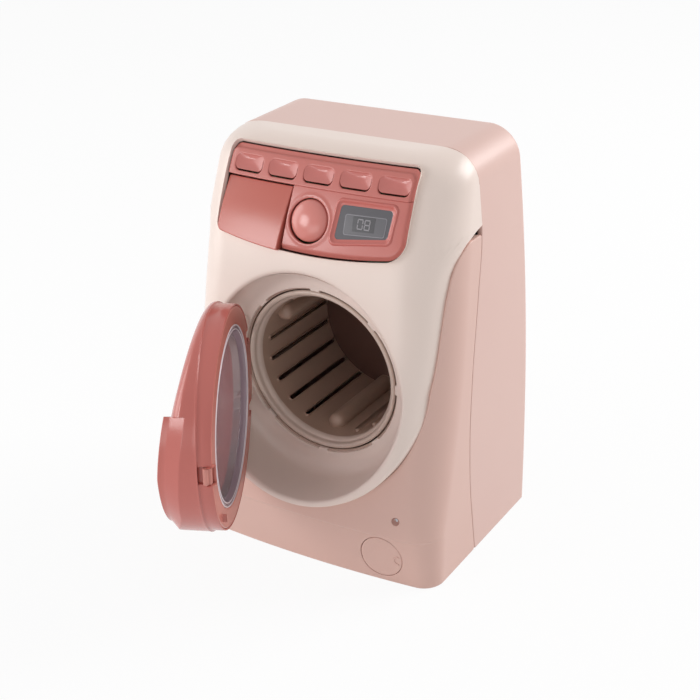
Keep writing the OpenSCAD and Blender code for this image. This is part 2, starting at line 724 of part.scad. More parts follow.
module door_ring() color(coral) swung() difference() {
    union() {
        on_door() {
            intersection() {
                union() {
                    difference() {
                        translate([0, 0, 2.7]) cylinder(r = door_r - 1, h = 8, $fn = 128);
                        translate([0, 0, 0]) cylinder(r = 55.6, h = 4.5, $fn = 128);
                    }
                    translate([0, 0, 9.6]) cylinder(r = door_r, h = 40, $fn = 128);
                }
                rotate([-door_wedge, 0, 0]) rotate_extrude($fn = 128)
                    polygon(concat([[0, -30], [90, -30], [90, door_thick - door_shoulder_r]],
                        [for (a = [0:10:80]) [door_r + 1.2 - door_shoulder_r * (1 - cos(a)),
                            door_thick - door_shoulder_r * (1 - sin(a))]],
                        [[50, door_thick + 2.1], [0, door_thick + 2.1]]));
            }
            // finger pull along the lower free edge
            intersection() {
                rotate([-door_wedge, 0, 0]) rotate([0, 0, -62]) rotate_extrude(angle = 89, $fn = 128)
                    polygon([[57, 12], [57, pull_top - 1.6], [58.2, pull_top], [62.4, pull_top],
                        [64.8, pull_top - 2], [66.2, pull_top - 6], [67, 12]]);
                cylinder(r = door_r + 0.4, h = 29.3, $fn = 128);
            }
        }
        // knuckles round the hinge pin
        intersection() {
            translate([-hinge_x, -hinge_front, drum_z - 33]) cylinder(r = 4.2, h = 66);
            on_door() translate([0, 0, 6]) cylinder(r = door_r, h = door_thick - 6 - door_shoulder_r / 2);
        }
    }
    on_door() translate([0, 0, -5]) cylinder(r = 50, h = 60, $fn = 128);
    on_door() translate([0, 0, -5]) cylinder(r = 55.6, h = 9.6, $fn = 128);
    hinge_room();
    translate([-hinge_x, -hinge_front, drum_z - 31]) cylinder(r = hinge_pin_r + run_gap, h = 62, $fn = 32);
    // bevel that lets the door swing past the leaning face
    translate([-hinge_x, -hinge_front, 0]) rotate([0, 0, 225]) translate([hinge_relief, -50, 0])
        cube([60, 100, 250]);
    // notch for the catch
    on_door() rotate([0, 0, catch_angle]) translate([60.5, -5.6, 0]) cube([8, 11.2, 5.4]);
    at_door_screw() cylinder(r = 1.2, h = 8, $fn = 24);
}

module hinge_pin() color(steel) translate([-hinge_x, -hinge_front, drum_z - 30.8])
    cylinder(r = hinge_pin_r, h = 61.6, $fn = 32);

module door_inner_ring() color(deep_coral) swung() difference() {
    on_door() difference() {
        cylinder(r = door_r - 1, h = 2.6, $fn = 128);
        translate([0, 0, -1]) cylinder(r = window_r, h = 5, $fn = 128);
        rotate([0, 0, catch_angle]) translate([60.5, -5.6, -1]) cube([8, 11.2, 6]);
    }
    at_door_screw() translate([0, 0, -1]) cylinder(r = 1.4, h = 6, $fn = 24);
    at_door_screw() translate([0, 0, -1]) cylinder(r = 2.7, h = 2.2, $fn = 32);
    hinge_room();
}

module door_window() color([0.85, 0.9, 0.92, 0.4]) swung() difference() {
    on_door() rotate_extrude($fn = 128) polygon(concat(
        [[55.2, 2.8], [55.2, 4.3], [49.6, 4.3], [49.6, 9]],
        [for (i = [1:8]) [49.6 * cos(11.25 * i), 9 + 7 * sin(11.25 * i)]],
        [for (i = [8:-1:1]) [47.6 * cos(11.25 * i), 8 + 6 * sin(11.25 * i)]],
        [[47.6, 8], [47.6, 2.8]]));
    hinge_room();
}

module door_catch() color(coral) swung() on_door() rotate([0, 0, catch_angle]) {
    translate([60.7, -5.3, -1.5]) cube([3.4, 10.6, 6.7]);
    translate([64, -3.6, -0.6]) cube([1.5, 7.2, 3.4]);
}

module door_screw() color(steel) swung() at_door_screw() difference() {
    union() {
        cylinder(r = 1.15, h = 7.5, $fn = 24);
        translate([0, 0, 0.2]) cylinder(r = 2.5, h = 1, $fn = 32);
    }
    translate([-1.8, -0.25, -1]) cube([3.6, 0.5, 1.7]);
}

// ---- control panel ----

module drawer_outline(g) {
    w = drawer_right - drawer_left;
    intersection() {
        panel_outline(g - 0.5);
        translate([drawer_left - g, panel_bottom - 2 - g])
            square([w + 2 * g, strip_z - panel_bottom + 2 + 2 * g]);
    }
}

// skin of the control panel, from out ahead of the cream face to deep behind it. It is turned about a
// far upright axis, which gives it the bow of the front.
module panel_slab(out, deep) {
    zs = [for (drop = [62, 56, 50, 44, 38, 32, 26, 20, 15, 11, 7.5, 4.5]) height - drop];
    axis_y = 8100 / 2 / bow;
    translate([0, axis_y, 0]) rotate([0, 0, 264]) rotate_extrude(angle = 12, $fn = 1440)
        polygon(concat([for (z = zs) [axis_y - cream_y(z, -out), z]],
            [for (i = [len(zs) - 1:-1:0]) [axis_y - cream_y(zs[i], deep), zs[i]]]));
}

module control_panel() color(coral) difference() {
    union() {
        intersection() {
            panel_slab(0.3, 2.4);
            through_front_panel() panel_outline(0);
        }
        board_posts();
    }
    for (i = [-2:2]) on_panel(i * key_pitch, key_z) translate([0, 0, -12]) linear_extrude(height = 30)
        soft_rect(key_wide + 2 * key_gap, key_tall + 2 * key_gap, 2.6);
    on_panel(0, button_z) translate([0, 0, -12]) cylinder(r = button_r + 0.4, h = 30);
    on_panel(0, button_z) translate([0, 0, -0.9]) cylinder(r = button_r + 1.6, h = 10);
    through_front_panel() drawer_outline(0.3);
    on_panel(display_x, display_z) translate([0, 0, -12]) linear_extrude(height = 30) soft_rect(41.6, 25.4, 4);
}

// posts behind the control panel that carry the boards
module board_posts() {
    for (p = [[-27, -15], [-5, -16], [40, -10], [40, 12]]) on_panel(18, panel_mid)
        translate([p[0], p[1], -11.3]) cylinder(r = 2, h = 9.6, $fn = 32);
    for (i = [-1.5:1:1.5]) on_panel(0, key_z) translate([i * key_pitch, 0, -9.9])
        cylinder(r = 1.1, h = 8.6, $fn = 24);
}

module display_bezel() color(deep_coral) on_panel(display_x, display_z) difference() {
    translate([0, 0, -2.6]) linear_extrude(height = 4) soft_rect(41.2, 25, 3.8);
    translate([0, 0, 0.2]) linear_extrude(height = 4) soft_rect(35.4, 20.4, 2.2);
}

module display_label() color(label_grey) on_panel(display_x, display_z) difference() {
    translate([0, 0, 0.2]) linear_extrude(height = 0.6) soft_rect(35.2, 20.2, 2);
    translate([0, -0.4, 0.55]) linear_extrude(height = 2) soft_rect(26, 10.6, 1);
}

// lit strokes of one number, as seen from the front
module strokes(list) {
    for (k = list) {
        across = k == 0 || k == 3 || k == 6;
        x = k == 1 || k == 4 ? -1.7 : k == 2 || k == 5 ? 1.7 : 0;
        y = k == 0 ? 3 : k == 6 ? -3 : k == 3 ? 0 : k < 3 ? 1.5 : -1.5;
        translate([x, y]) square(across ? [2.6, 0.6] : [0.6, 2.4], center = true);
    }
}

module display_digits() color(digit_grey) on_panel(display_x, display_z) translate([0, -0.4, 0.56]) {
    linear_extrude(height = 0.15) translate([-3.6, 0]) strokes([0, 1, 2, 4, 5, 6]);
    linear_extrude(height = 0.15) translate([3.6, 0]) strokes([0, 1, 2, 3, 4, 5, 6]);
}

module programme_key(i) color(coral) on_panel(i * key_pitch, key_z) difference() {
    union() {
        translate([0, 0, -3.4]) linear_extrude(height = 4) soft_rect(key_wide, key_tall, 2.4);
        translate([0, 0, -4.6]) linear_extrude(height = 1.3) soft_rect(key_wide + 2, key_tall - 3, 2.4);
    }
    translate([0, 0, 24.4]) sphere(r = 24.6, $fn = 96);
}
module programme_key_1() programme_key(-2);
module programme_key_2() programme_key(-1);
module programme_key_3() programme_key(0);
module programme_key_4() programme_key(1);
module programme_key_5() programme_key(2);

module start_button() color(coral) on_panel(0, button_z) difference() {
    union() {
        translate([0, 0, -4]) cylinder(r = button_r, h = 6);
        intersection() {
            translate([0, 0, -22]) sphere(r = 26, $fn = 96);
            translate([0, 0, 1.9]) cylinder(r = button_r, h = 10);
        }
        translate([0, 0, -5.2]) cylinder(r = button_r + 1.6, h = 1.4);
    }
    translate([0, 0, 30.6]) sphere(r = 27.4, $fn = 96);
}

module circuit_board() color("#3e7a4b") {
    on_panel(18, panel_mid) translate([-30, -18, -13]) cube([73, 34, 1.6]);
    on_panel(0, key_z) translate([-58, -5, -11.4]) cube([116, 10, 1.4]);
}

module key_switches() color(dark) {
    for (i = [-2:2]) on_panel(0, key_z) translate([i * key_pitch, 0, -9.9]) cylinder(r = 2.6, h = 2, $fn = 32);
    on_panel(0, button_z) translate([0, 0, -11]) cylinder(r = 3, h = 3.2, $fn = 32);
}

module drawer_front() color(deep_coral) difference() {
    intersection() {
        through_front_panel() drawer_outline(-0.1);
        translate([0, drawer_cy, drawer_cz]) rotate([0, 90, 0])
            cylinder(r = drawer_r, h = 200, center = true, $fn = 128);
    }
    translate([0, drawer_cy + 3, drawer_cz]) rotate([0, 90, 0])
        cylinder(r = drawer_r, h = 220, center = true, $fn = 128);
}

module drawer_tray() color(white) difference() {
    translate([-57.6, brow_y0 + 9.5, height - 52]) cube([37, 46, 25.4]);
    translate([-56, brow_y0 + 15.5, height - 50.4]) cube([33.8, 38.4, 30]);
    translate([0, drawer_cy + 3, drawer_cz]) rotate([0, 90, 0]) difference() {
        cylinder(r = drawer_r + 80, h = 220, center = true, $fn = 128);
        cylinder(r = drawer_r - 0.1, h = 230, center = true, $fn = 128);
    }
}

rear_casing();
front_casing();
front_panel();
base_plate();
rubber_feet();
control_panel();
display_bezel();
display_label();
display_digits();
gear_plate();
middle_gear_pin();
motor();
motor_bracket();
battery_box();
battery_cells();
battery_contacts();
battery_door();
battery_door_screw();
circuit_board();
key_switches();
speaker();
casing_screws();
filter_cover();
hinge_pin();
drum_shell();
drum_back();
drum_axle();
drum_gear();
middle_gear();
motor_gear();
door_ring();
door_inner_ring();
door_window();
door_catch();
door_screw();
drawer_front();
drawer_tray();
programme_key_1();
programme_key_2();
programme_key_3();
programme_key_4();
programme_key_5();
start_button();
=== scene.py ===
import math

import bpy
import bmesh
import numpy as np
from mathutils import Matrix, Vector
from mathutils.geometry import tessellate_polygon


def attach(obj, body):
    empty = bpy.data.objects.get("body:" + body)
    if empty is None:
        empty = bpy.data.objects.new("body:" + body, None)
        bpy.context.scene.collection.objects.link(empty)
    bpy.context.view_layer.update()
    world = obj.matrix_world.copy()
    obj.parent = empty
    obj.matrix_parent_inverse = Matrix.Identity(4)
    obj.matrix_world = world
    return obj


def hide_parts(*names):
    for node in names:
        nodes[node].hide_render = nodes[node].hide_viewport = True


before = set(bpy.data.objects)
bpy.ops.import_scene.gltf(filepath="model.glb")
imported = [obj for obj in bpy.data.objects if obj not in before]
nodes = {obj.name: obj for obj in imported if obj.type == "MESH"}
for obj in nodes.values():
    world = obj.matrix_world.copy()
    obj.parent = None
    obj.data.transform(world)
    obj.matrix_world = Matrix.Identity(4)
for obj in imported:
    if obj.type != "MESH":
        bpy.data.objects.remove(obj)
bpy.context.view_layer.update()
mm = 0.001
away = 99.0  # stands for "nowhere near an edge" in the distances below, in millimetres

# small helpers


def toLinear(text):
    # sRGB hex to the linear colour a shader takes
    parts = [int(text[i:i + 2], 16) / 255 for i in (1, 3, 5)]
    return [p / 12.92 if p <= 0.04045 else ((p + 0.055) / 1.055) ** 2.4 for p in parts] + [1.0]


def put(tree, kind, settings=None, **sockets):
    # adds one node with its settings, values and links
    node = tree.nodes.new(kind)
    for key, value in (settings or {}).items():
        setattr(node, key, value)
    for key, value in sockets.items():
        byNumber = key[0] == "n" and key[1:].isdigit()
        socket = node.inputs[int(key[1:]) if byNumber else key.replace("_", " ")]
        if isinstance(value, bpy.types.NodeSocket):
            tree.links.new(value, socket)
        else:
            socket.default_value = value
    return node


def newMaterial(name):
    # a fresh material with its tree, its shader and the object's own coordinates
    made = bpy.data.materials.new(name)
    made.use_nodes = True
    tree = made.node_tree
    place = put(tree, "ShaderNodeTexCoord")
    return made, tree, tree.nodes["Principled BSDF"], place.outputs["Object"]


def mottle(tree, shader, share, colours, rough, roughShare):
    # lets colour and gloss drift between two values
    tint = put(tree, "ShaderNodeMix", {"data_type": "RGBA"}, Factor=share,
               n6=toLinear(colours[0]), n7=toLinear(colours[1]))
    sheen = put(tree, "ShaderNodeMapRange", None, Value=roughShare, To_Min=rough[0], To_Max=rough[1])
    tree.links.new(tint.outputs[2], shader.inputs["Base Color"])
    tree.links.new(sheen.outputs["Result"], shader.inputs["Roughness"])


def mouldedPlastic(name, look):
    # colour drifts a little over centimetres, the skin has a fine spark-eroded grain
    colour, drift, flowSize, grainSize, rough, strength = look
    made, tree, shader, place = newMaterial(name)
    flow = put(tree, "ShaderNodeTexNoise", None, Vector=place,
               Scale=1000 / flowSize, Detail=2.0, Roughness=0.4)
    grain = put(tree, "ShaderNodeTexNoise", None, Vector=place,
                Scale=1000 / grainSize, Detail=3.0, Roughness=0.55)
    mottle(tree, shader, flow.outputs["Fac"], (colour, drift), rough, grain.outputs["Fac"])
    bump = put(tree, "ShaderNodeBump", None, Height=grain.outputs["Fac"],
               Strength=strength, Distance=0.05 * mm)
    tree.links.new(bump.outputs["Normal"], shader.inputs["Normal"])
    shader.inputs["IOR"].default_value = 1.5
    return made


def drawnMetal(name, look):
    # fine turning marks across a bright metal skin
    made, tree, shader, place = newMaterial(name)
    stretch = put(tree, "ShaderNodeMapping", None, Vector=place, Scale=(1.0, 0.12, 1.0))
    marks = put(tree, "ShaderNodeTexNoise", None, Vector=stretch.outputs["Vector"],
                Scale=1000 / look["marks"], Detail=2.0).outputs["Fac"]
    mottle(tree, shader, marks, look["colours"], look["rough"], marks)
    shader.inputs["Metallic"].default_value = 1.0
    return made


def clearPlastic(name, look):
    # moulded clear sheet with a faint orange-peel ripple
    made, tree, shader, place = newMaterial(name)
    ripple = put(tree, "ShaderNodeTexNoise", None, Vector=place, Scale=1000 / look["ripple"], Detail=1.0)
    bump = put(tree, "ShaderNodeBump", None, Height=ripple.outputs["Fac"], Strength=0.15, Distance=0.05 * mm)
    tree.links.new(bump.outputs["Normal"], shader.inputs["Normal"])
    shader.inputs["Base Color"].default_value = toLinear(look["colour"])
    shader.inputs["Roughness"].default_value = look["rough"]
    shader.inputs["IOR"].default_value = 1.49
    shader.inputs["Transmission Weight"].default_value = look["clear"]
    return made


# finishes

# each row: colour, the colour it drifts to, reach of the drift and size of the grain in millimetres,
# lowest and highest roughness, strength of the grain
finishes = {
    # ABS, injection moulded and lightly spark eroded: a soft satin with broad highlights
    "rearAbs": ("#dcbab0", "#d9b5ab", 60, 0.9, (0.3, 0.38), 0.25),
    "frontAbs": ("#dcb8ad", "#d8b2a6", 60, 0.9, (0.3, 0.38), 0.25),
    "creamAbs": ("#eddcd3", "#ead8ce", 70, 0.9, (0.27, 0.35), 0.22),
    # ABS from polished moulds: tighter highlights on the coral parts
    "panelAbs": ("#c7746c", "#c47168", 40, 0.8, (0.19, 0.26), 0.08),
    "keyAbs": ("#c7746d", "#c47169", 30, 0.8, (0.17, 0.23), 0.06),
    "drawerAbs": ("#c2685c", "#bb6154", 30, 0.8, (0.18, 0.25), 0.07),
    "buttonAbs": ("#d6857c", "#d38077", 20, 0.8, (0.16, 0.21), 0.05),
    "bezelAbs": ("#c86e66", "#c46960", 20, 0.8, (0.12, 0.17), 0.05),
    "doorAbs": ("#c36c63", "#bd645b", 40, 0.8, (0.17, 0.24), 0.07),
    "doorInnerAbs": ("#cb7e73", "#c3756a", 40, 0.8, (0.18, 0.25), 0.07),
    # the drum's ABS, darkened as painted shade for the inside of the drum
    "shadedDrumAbs": ("#bea392", "#b89c8b", 50, 0.9, (0.26, 0.34), 0.22),
    # printed polyester film: flat and a little chalky
    "labelFilm": ("#4f4d52", "#4a484d", 15, 0.6, (0.42, 0.5), 0.08),
    "screenFilm": ("#58565b", "#525055", 15, 0.6, (0.3, 0.36), 0.05),
    "screenDark": ("#38363b", "#343236", 10, 0.6, (0.3, 0.36), 0.05),
    "digitInk": ("#8f8b90", "#8a868b", 8, 0.5, (0.4, 0.48), 0.05),
    "screenEdge": ("#838086", "#7e7b81", 15, 0.6, (0.3, 0.36), 0.05),
    # the drum's ABS in a paler copy for its lip, as painted light where the lip catches the lamps
    "litDrumLipAbs": ("#d9c6ba", "#d4c0b3", 50, 0.9, (0.26, 0.34), 0.2),
    # the same ABS darkened as painted shade where it lies deep in shade: the back of the drum, the collar
    # behind the mouth and the sunk front screws
    "paintedShadeDrum": ("#77584e", "#6d4f46", 40, 0.9, (0.4, 0.5), 0.2),
    "paintedShadeCream": ("#c4ab9d", "#bca294", 40, 0.9, (0.4, 0.5), 0.2),
    "paintedShadeFront": ("#a5776b", "#996c60", 20, 0.8, (0.35, 0.45), 0.2),
    "catchAbs": ("#cd867b", "#c77f74", 20, 0.8, (0.25, 0.33), 0.15),
    # polystyrene: the rims painted bright as highlights, greyer in the flange between them
    "paintedHighlightPs": ("#f3e9ee", "#eadde4", 30, 0.5, (0.1, 0.16), 0.05),
    "flangePs": ("#a8949d", "#9a858e", 30, 1.2, (0.1, 0.16), 0.1),
    # acetal, natural white: waxy and half matt
    "acetal": ("#efece5", "#e9e5dc", 40, 0.7, (0.4, 0.5), 0.2),
    "blackPs": ("#343130", "#2e2b2a", 30, 0.8, (0.38, 0.5), 0.25),
    "footRubber": ("#3b3836", "#343130", 10, 0.7, (0.75, 0.85), 0.4),
    "boardLacquer": ("#3e7a4b", "#356b41", 12, 0.5, (0.25, 0.35), 0.1),
    "cellWrap": ("#8d9299", "#83888f", 20, 0.6, (0.25, 0.32), 0.1),
}
paint = {name: mouldedPlastic(name, look) for name, look in finishes.items()}
metals = {
    "zincSteel": {"colours": ("#b9bcc0", "#a7aaae"), "marks": 0.8, "rough": (0.26, 0.38)},
    "motorCan": {"colours": ("#a9acb0", "#9a9da1"), "marks": 1.2, "rough": (0.3, 0.42)},
}
for name, look in metals.items():
    paint[name] = drawnMetal(name, look)
# clear polystyrene, a little milky
paint["clearPs"] = clearPlastic("clearPs", {"colour": "#dccfd3", "ripple": 6.0, "rough": 0.03, "clear": 0.74})
print("finishes ready")

# mesh tools, all in millimetres


def gridFaces(rows, columns, wrap=False):
    across = columns if wrap else columns - 1
    return [(r * columns + c, r * columns + (c + 1) % columns, (r + 1) * columns + (c + 1) % columns,
             (r + 1) * columns + c) for r in range(rows - 1) for c in range(across)]


def wrapFaces(count, size):
    # faces between columns of points that close up all the way round
    return [(k * size + j, k * size + j + 1, ((k + 1) % count) * size + j + 1, ((k + 1) % count) * size + j)
            for k in range(count) for j in range(size - 1)]


def vertexNormals(points, faces):
    normals = np.zeros_like(points)
    for size in (3, 4):
        some = np.array([f for f in faces if len(f) == size], int).reshape(-1, size)
        if len(some):
            corners = [points[some[:, k]] for k in range(size)]
            cross = np.cross(corners[1] - corners[0], corners[2] - corners[0])
            if size == 4:
                cross += np.cross(corners[2] - corners[0], corners[3] - corners[0])
            for k in range(size):
                np.add.at(normals, some[:, k], cross)
    return normals / np.maximum(np.linalg.norm(normals, axis=1, keepdims=True), 1e-12)


halvings = 14  # steps of the search for the cut, enough for a hundredth of a micron
probe = 0.05  # reach of the step that finds which way the cut runs


def trim(points, faces, keep, roll=0.5, depth=2.5, steps=4):
    # cuts a skin along keep = 0 and rolls its edge over, then inwards by depth
    points = np.asarray(points, float)
    rollAt = roll if callable(roll) else (lambda p: np.full(len(p), roll))
    value = keep(points) - rollAt(points)
    normals = vertexNormals(points, faces)
    inside = (value >= 0).tolist()
    whole, rim, pairs = [], [], {}
    for face in faces:
        signs = [inside[i] for i in face]
        if all(signs):
            whole.append(face)
            continue
        if not any(signs):
            continue
        for k in range(1, len(face) - 1):
            tri = (face[0], face[k], face[k + 1])
            ring, ends = [], [None, None]
            for m in range(3):
                i, j = tri[m], tri[(m + 1) % 3]
                if inside[i]:
                    ring.append(i)
                if inside[i] != inside[j]:
                    number = pairs.setdefault((min(i, j), max(i, j)), len(pairs))
                    ring.append(len(points) + number)
                    ends[0 if inside[i] else 1] = len(points) + number
            if len(ring) > 2:
                whole.append(tuple(ring))
                if ends[0] is not None:
                    rim.append(tuple(ends))
    if not pairs:
        return points, whole
    ends = np.array(list(pairs), int)
    low, high = points[ends[:, 0]], points[ends[:, 1]]
    t0, t1 = np.zeros(len(ends)), np.ones(len(ends))
    first = value[ends[:, 0]] >= 0
    for _ in range(halvings):
        middle = (t0 + t1) / 2
        spot = low + (high - low) * middle[:, None]
        same = (keep(spot) - rollAt(spot) >= 0) == first
        t0, t1 = np.where(same, middle, t0), np.where(same, t1, middle)
    t = ((t0 + t1) / 2)[:, None]
    edge = low + (high - low) * t
    normal = normals[ends[:, 0]] * (1 - t) + normals[ends[:, 1]] * t
    normal /= np.maximum(np.linalg.norm(normal, axis=1, keepdims=True), 1e-12)
    here = keep(edge)
    slope = np.stack([(keep(edge + step) - here) for step in np.eye(3) * probe], 1)
    slope -= normal * (slope * normal).sum(1, keepdims=True)
    slope /= np.maximum(np.linalg.norm(slope, axis=1, keepdims=True), 1e-12)
    size = rollAt(edge)[:, None]
    layers = [edge]
    for k in range(1, steps + 1):
        turn = math.pi / 2 * k / steps
        layers.append(edge - slope * size * math.sin(turn) - normal * size * (1 - math.cos(turn)))
    layers.append(layers[-1] - normal * depth)
    count = len(edge)
    base = len(points)
    for a, b in rim:
        for k in range(steps + 1):
            whole.append((b + k * count, a + k * count, a + (k + 1) * count, b + (k + 1) * count))
    return np.vstack([points] + layers), whole


def ringFaces(loops, closed=True, capStart=False, capEnd=False):
    # skin over a stack of loops with the same number of points
    loops = np.asarray(loops, float)
    count, size = loops.shape[:2]
    points = loops.reshape(-1, 3)
    faces = gridFaces(count, size, wrap=closed)
    extra = []
    for wanted, row in ((capStart, 0), (capEnd, count - 1)):
        if wanted:
            centre = len(points) + len(extra)
            extra.append(loops[row].mean(0))
            ring = range(row * size, (row + 1) * size)
            for c in range(size):
                pair = (ring[c], ring[(c + 1) % size])
                faces.append((pair[1], pair[0], centre) if row == 0 else (pair[0], pair[1], centre))
    if extra:
        points = np.vstack([points, extra])
    return points, faces


def lathe(profile, steps):
    # turns (radius, height) pairs about local Z
    turns = np.radians(np.arange(steps) * 360.0 / steps)
    return ringFaces([[(r * math.cos(a), r * math.sin(a), h) for a in turns] for r, h in profile])


def arcPoints(cx, cy, radius, fromDeg, toDeg, count):
    return [(cx + radius * math.cos(a), cy + radius * math.sin(a))
            for a in np.radians(np.linspace(fromDeg, toDeg, count))]


def roundRect(wide, tall, radius, perCorner=8):
    # closed outline, anticlockwise, centred on the origin
    radius = max(0.05, min(radius, wide / 2 - 0.01, tall / 2 - 0.01))
    outline = []
    for k, (sx, sy) in enumerate([(1, -1), (1, 1), (-1, 1), (-1, -1)]):
        cx, cy = sx * (wide / 2 - radius), sy * (tall / 2 - radius)
        outline += arcPoints(cx, cy, radius, -90 + 90 * k, 90 * k, perCorner)
    return np.array(outline)


def finishMesh(piece, sharpDeg):
    mesh = piece.data
    mesh.shade_smooth()
    mesh.set_sharp_from_angle(angle=math.radians(sharpDeg))
    mesh.update()


weld = 0.004  # points closer than this become one


def makePiece(name, points, faces, material, body, stands=(), sharpDeg=50, closed=False):
    # builds one piece, rides it on its body and lets it stand for the plain nodes it covers
    mesh = bpy.data.meshes.new(name)
    mesh.from_pydata((np.asarray(points) * mm).tolist(), [], [tuple(int(i) for i in f) for f in faces])
    shape = bmesh.new()
    shape.from_mesh(mesh)
    bmesh.ops.remove_doubles(shape, verts=shape.verts, dist=weld * mm)
    loose = [v for v in shape.verts if not v.link_faces]
    bmesh.ops.delete(shape, geom=loose, context="VERTS")
    if closed:
        bmesh.ops.recalc_face_normals(shape, faces=shape.faces)
    shape.to_mesh(mesh)
    shape.free()
    piece = bpy.data.objects.new(name, mesh)
    bpy.context.scene.collection.objects.link(piece)
    mesh.materials.append(paint[material])
    finishMesh(piece, sharpDeg)
    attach(piece, body)
    if stands:
        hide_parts(*stands)
    return piece


def turned(degrees, axis):
    return np.array(Matrix.Rotation(math.radians(degrees), 3, axis))


# outline of the cabinet

cabinet = {
    "height": 250.0, "halfBase": 89.2, "halfMid": 90.2, "halfTop": 82.5, "widestAt": 85.0,
    "backY": 64.5, "topEdge": 18.4, "backEdge": 4.0, "bow": 5.0, "bowAt": 90.0,
    "footFront": 64.6, "creaseFront": 67.0, "creaseZ": 33.0, "creaseSoft": 0.3, "plinthIn": 0.8,
    "creaseUnder": 1.6, "frontSlope": 0.1715,
    "faceFront": 60.6, "faceLean": 11.0, "browLean": 32.0, "browDrop": 78.0, "browR": 197.0,
    "bibR": 79.4, "bibZ": 123.0, "drumZ": 114.7, "topSeam": 8.7,
}
height = cabinet["height"]
bowAt = cabinet["bowAt"]
drumZ = cabinet["drumZ"]
faceLean = math.radians(cabinet["faceLean"])
browLean = math.radians(cabinet["browLean"])
browR = cabinet["browR"]
browStart = height - cabinet["browDrop"]
browY = -cabinet["faceFront"] + math.tan(faceLean) * (browStart - drumZ) + browR * math.cos(faceLean)
browZ = browStart - browR * math.sin(faceLean)
edgeR = (height - browZ - browR * math.sin(browLean)) / (1 - math.sin(browLean))
edgeY = browY - (browR - edgeR) * math.cos(browLean)
edgeZ = height - edgeR
cornerHeights = [0, 60, 125, 160, 175, 185, 205, 222, 236, 250]
pinkCorners = [12, 20, 26, 27.4, 28, 29, 31, 29, 25, 22]
creamCorners = [20, 20, 20, 23, 25.6, 27, 31, 29, 25, 22]


def ease(t):
    t = np.clip(t, 0, 1)
    return t * t * (3 - 2 * t)


def hermite(knots, values):
    # smooth curve through the values at the knots
    knots, values = np.asarray(knots, float), np.asarray(values, float)
    slopes = np.gradient(values, knots)

    def at(q):
        q = np.clip(np.asarray(q, float), knots[0], knots[-1])
        i = np.clip(np.searchsorted(knots, q) - 1, 0, len(knots) - 2)
        h = knots[i + 1] - knots[i]
        t = (q - knots[i]) / h
        return ((2 * t ** 3 - 3 * t ** 2 + 1) * values[i] + (t ** 3 - 2 * t ** 2 + t) * h * slopes[i]
                + (-2 * t ** 3 + 3 * t ** 2) * values[i + 1] + (t ** 3 - t ** 2) * h * slopes[i + 1])
    return at


def halfWidth(z):
    z = np.asarray(z, float)
    above = (z - cabinet["widestAt"]) / (height - cabinet["widestAt"])
    below = (cabinet["widestAt"] - z) / cabinet["widestAt"]
    upper = cabinet["halfMid"] - (cabinet["halfMid"] - cabinet["halfTop"]) * above ** 2
    lower = cabinet["halfMid"] - (cabinet["halfMid"] - cabinet["halfBase"]) * below ** 2
    middle = np.where(z > cabinet["widestAt"], upper, lower)
    edge = cabinet["topEdge"]
    k = np.clip(z - (height - edge), 0, edge)
    return middle - (edge - np.sqrt(edge * edge - k * k))


def creamY(z):
    z = np.asarray(z, float)
    straight = -cabinet["faceFront"] + math.tan(faceLean) * (z - drumZ)
    brow = browY - np.sqrt(np.maximum(browR ** 2 - (z - browZ) ** 2, 0))
    edge = edgeY - np.sqrt(np.maximum(edgeR ** 2 - np.clip(z - edgeZ, 0, edgeR) ** 2, 0))
    return np.where(z < browStart, straight, np.where(z < edgeZ + edgeR * math.sin(browLean), brow, edge))


def pinkY(z):
    z = np.asarray(z, float)
    crease = cabinet["creaseZ"]
    below = (cabinet["creaseFront"] - cabinet["footFront"]) / crease
    rise = z - crease
    soft = cabinet["creaseSoft"]
    bend = np.sqrt(rise ** 2 + soft ** 2) - soft  # soft crease between the plinth and the front
    slope = cabinet["frontSlope"]
    return (-cabinet["creaseFront"] + rise * (slope - below) / 2 + bend * (slope + below) / 2
            + cabinet["plinthIn"] * ease((crease - z) / cabinet["creaseUnder"]))


def frontY(x, z, face, corners, half):
    # front surface over (x, z): bowed face running on into its upright corner
    x = np.abs(np.asarray(x, float))
    z = np.asarray(z, float)
    radius = np.interp(z, cornerHeights, corners)
    bend = half(z) - radius
    slope = 2 * cabinet["bow"] * bend / bowAt ** 2
    start = np.arctan(slope)
    wide = radius / (1 - np.sin(start))
    turn = np.arcsin(np.clip(np.sin(start) + (x - bend) / wide, -1, 1))
    flat = face(z) + cabinet["bow"] * (x / bowAt) ** 2
    corner = face(z) + cabinet["bow"] * (bend / bowAt) ** 2 + wide * (np.cos(start) - np.cos(turn))
    return np.where(x < bend, flat, corner)


# S-shaped side of the cream panel: half width by height
creamSide = hermite([40, 110, 123, 130, 141.5, 153, 163, 172, 180, 187, 193, 199, 203.6, 206.5, 250],
                    [79.4, 79.4, 79.5, 80.3, 81.1, 81.5, 81.8, 82.1, 82.5, 82.9, 83.7, 85.1, 86.3, 88, 88])
# where the same line runs up the flank and over the shoulder: height by depth, and depth by height
shoulderLine = [(-30, 172), (-25.8, 180), (-23.3, 187), (-19.8, 193), (-14.1, 199), (-6.4, 203.6),
                (0.8, 205.8), (8.7, 207.2)]
shoulderZ = hermite([q[0] for q in shoulderLine], [q[1] for q in shoulderLine])
shoulderY = hermite([q[1] for q in shoulderLine], [q[0] for q in shoulderLine])


def bibHalf(z):
    return np.minimum(creamSide(z), halfWidth(z) + 0.02)


def creamFront(x, z):
    return frontY(x, z, creamY, creamCorners, bibHalf)


def pinkFront(x, z):
    return frontY(x, z, pinkY, pinkCorners, halfWidth)


def bibGap(x, z):
    # distance outside the cream panel seen from the front
    low = np.hypot(x, z - cabinet["bibZ"]) - cabinet["bibR"]
    return np.where(z < cabinet["bibZ"], low, np.abs(x) - bibHalf(z))


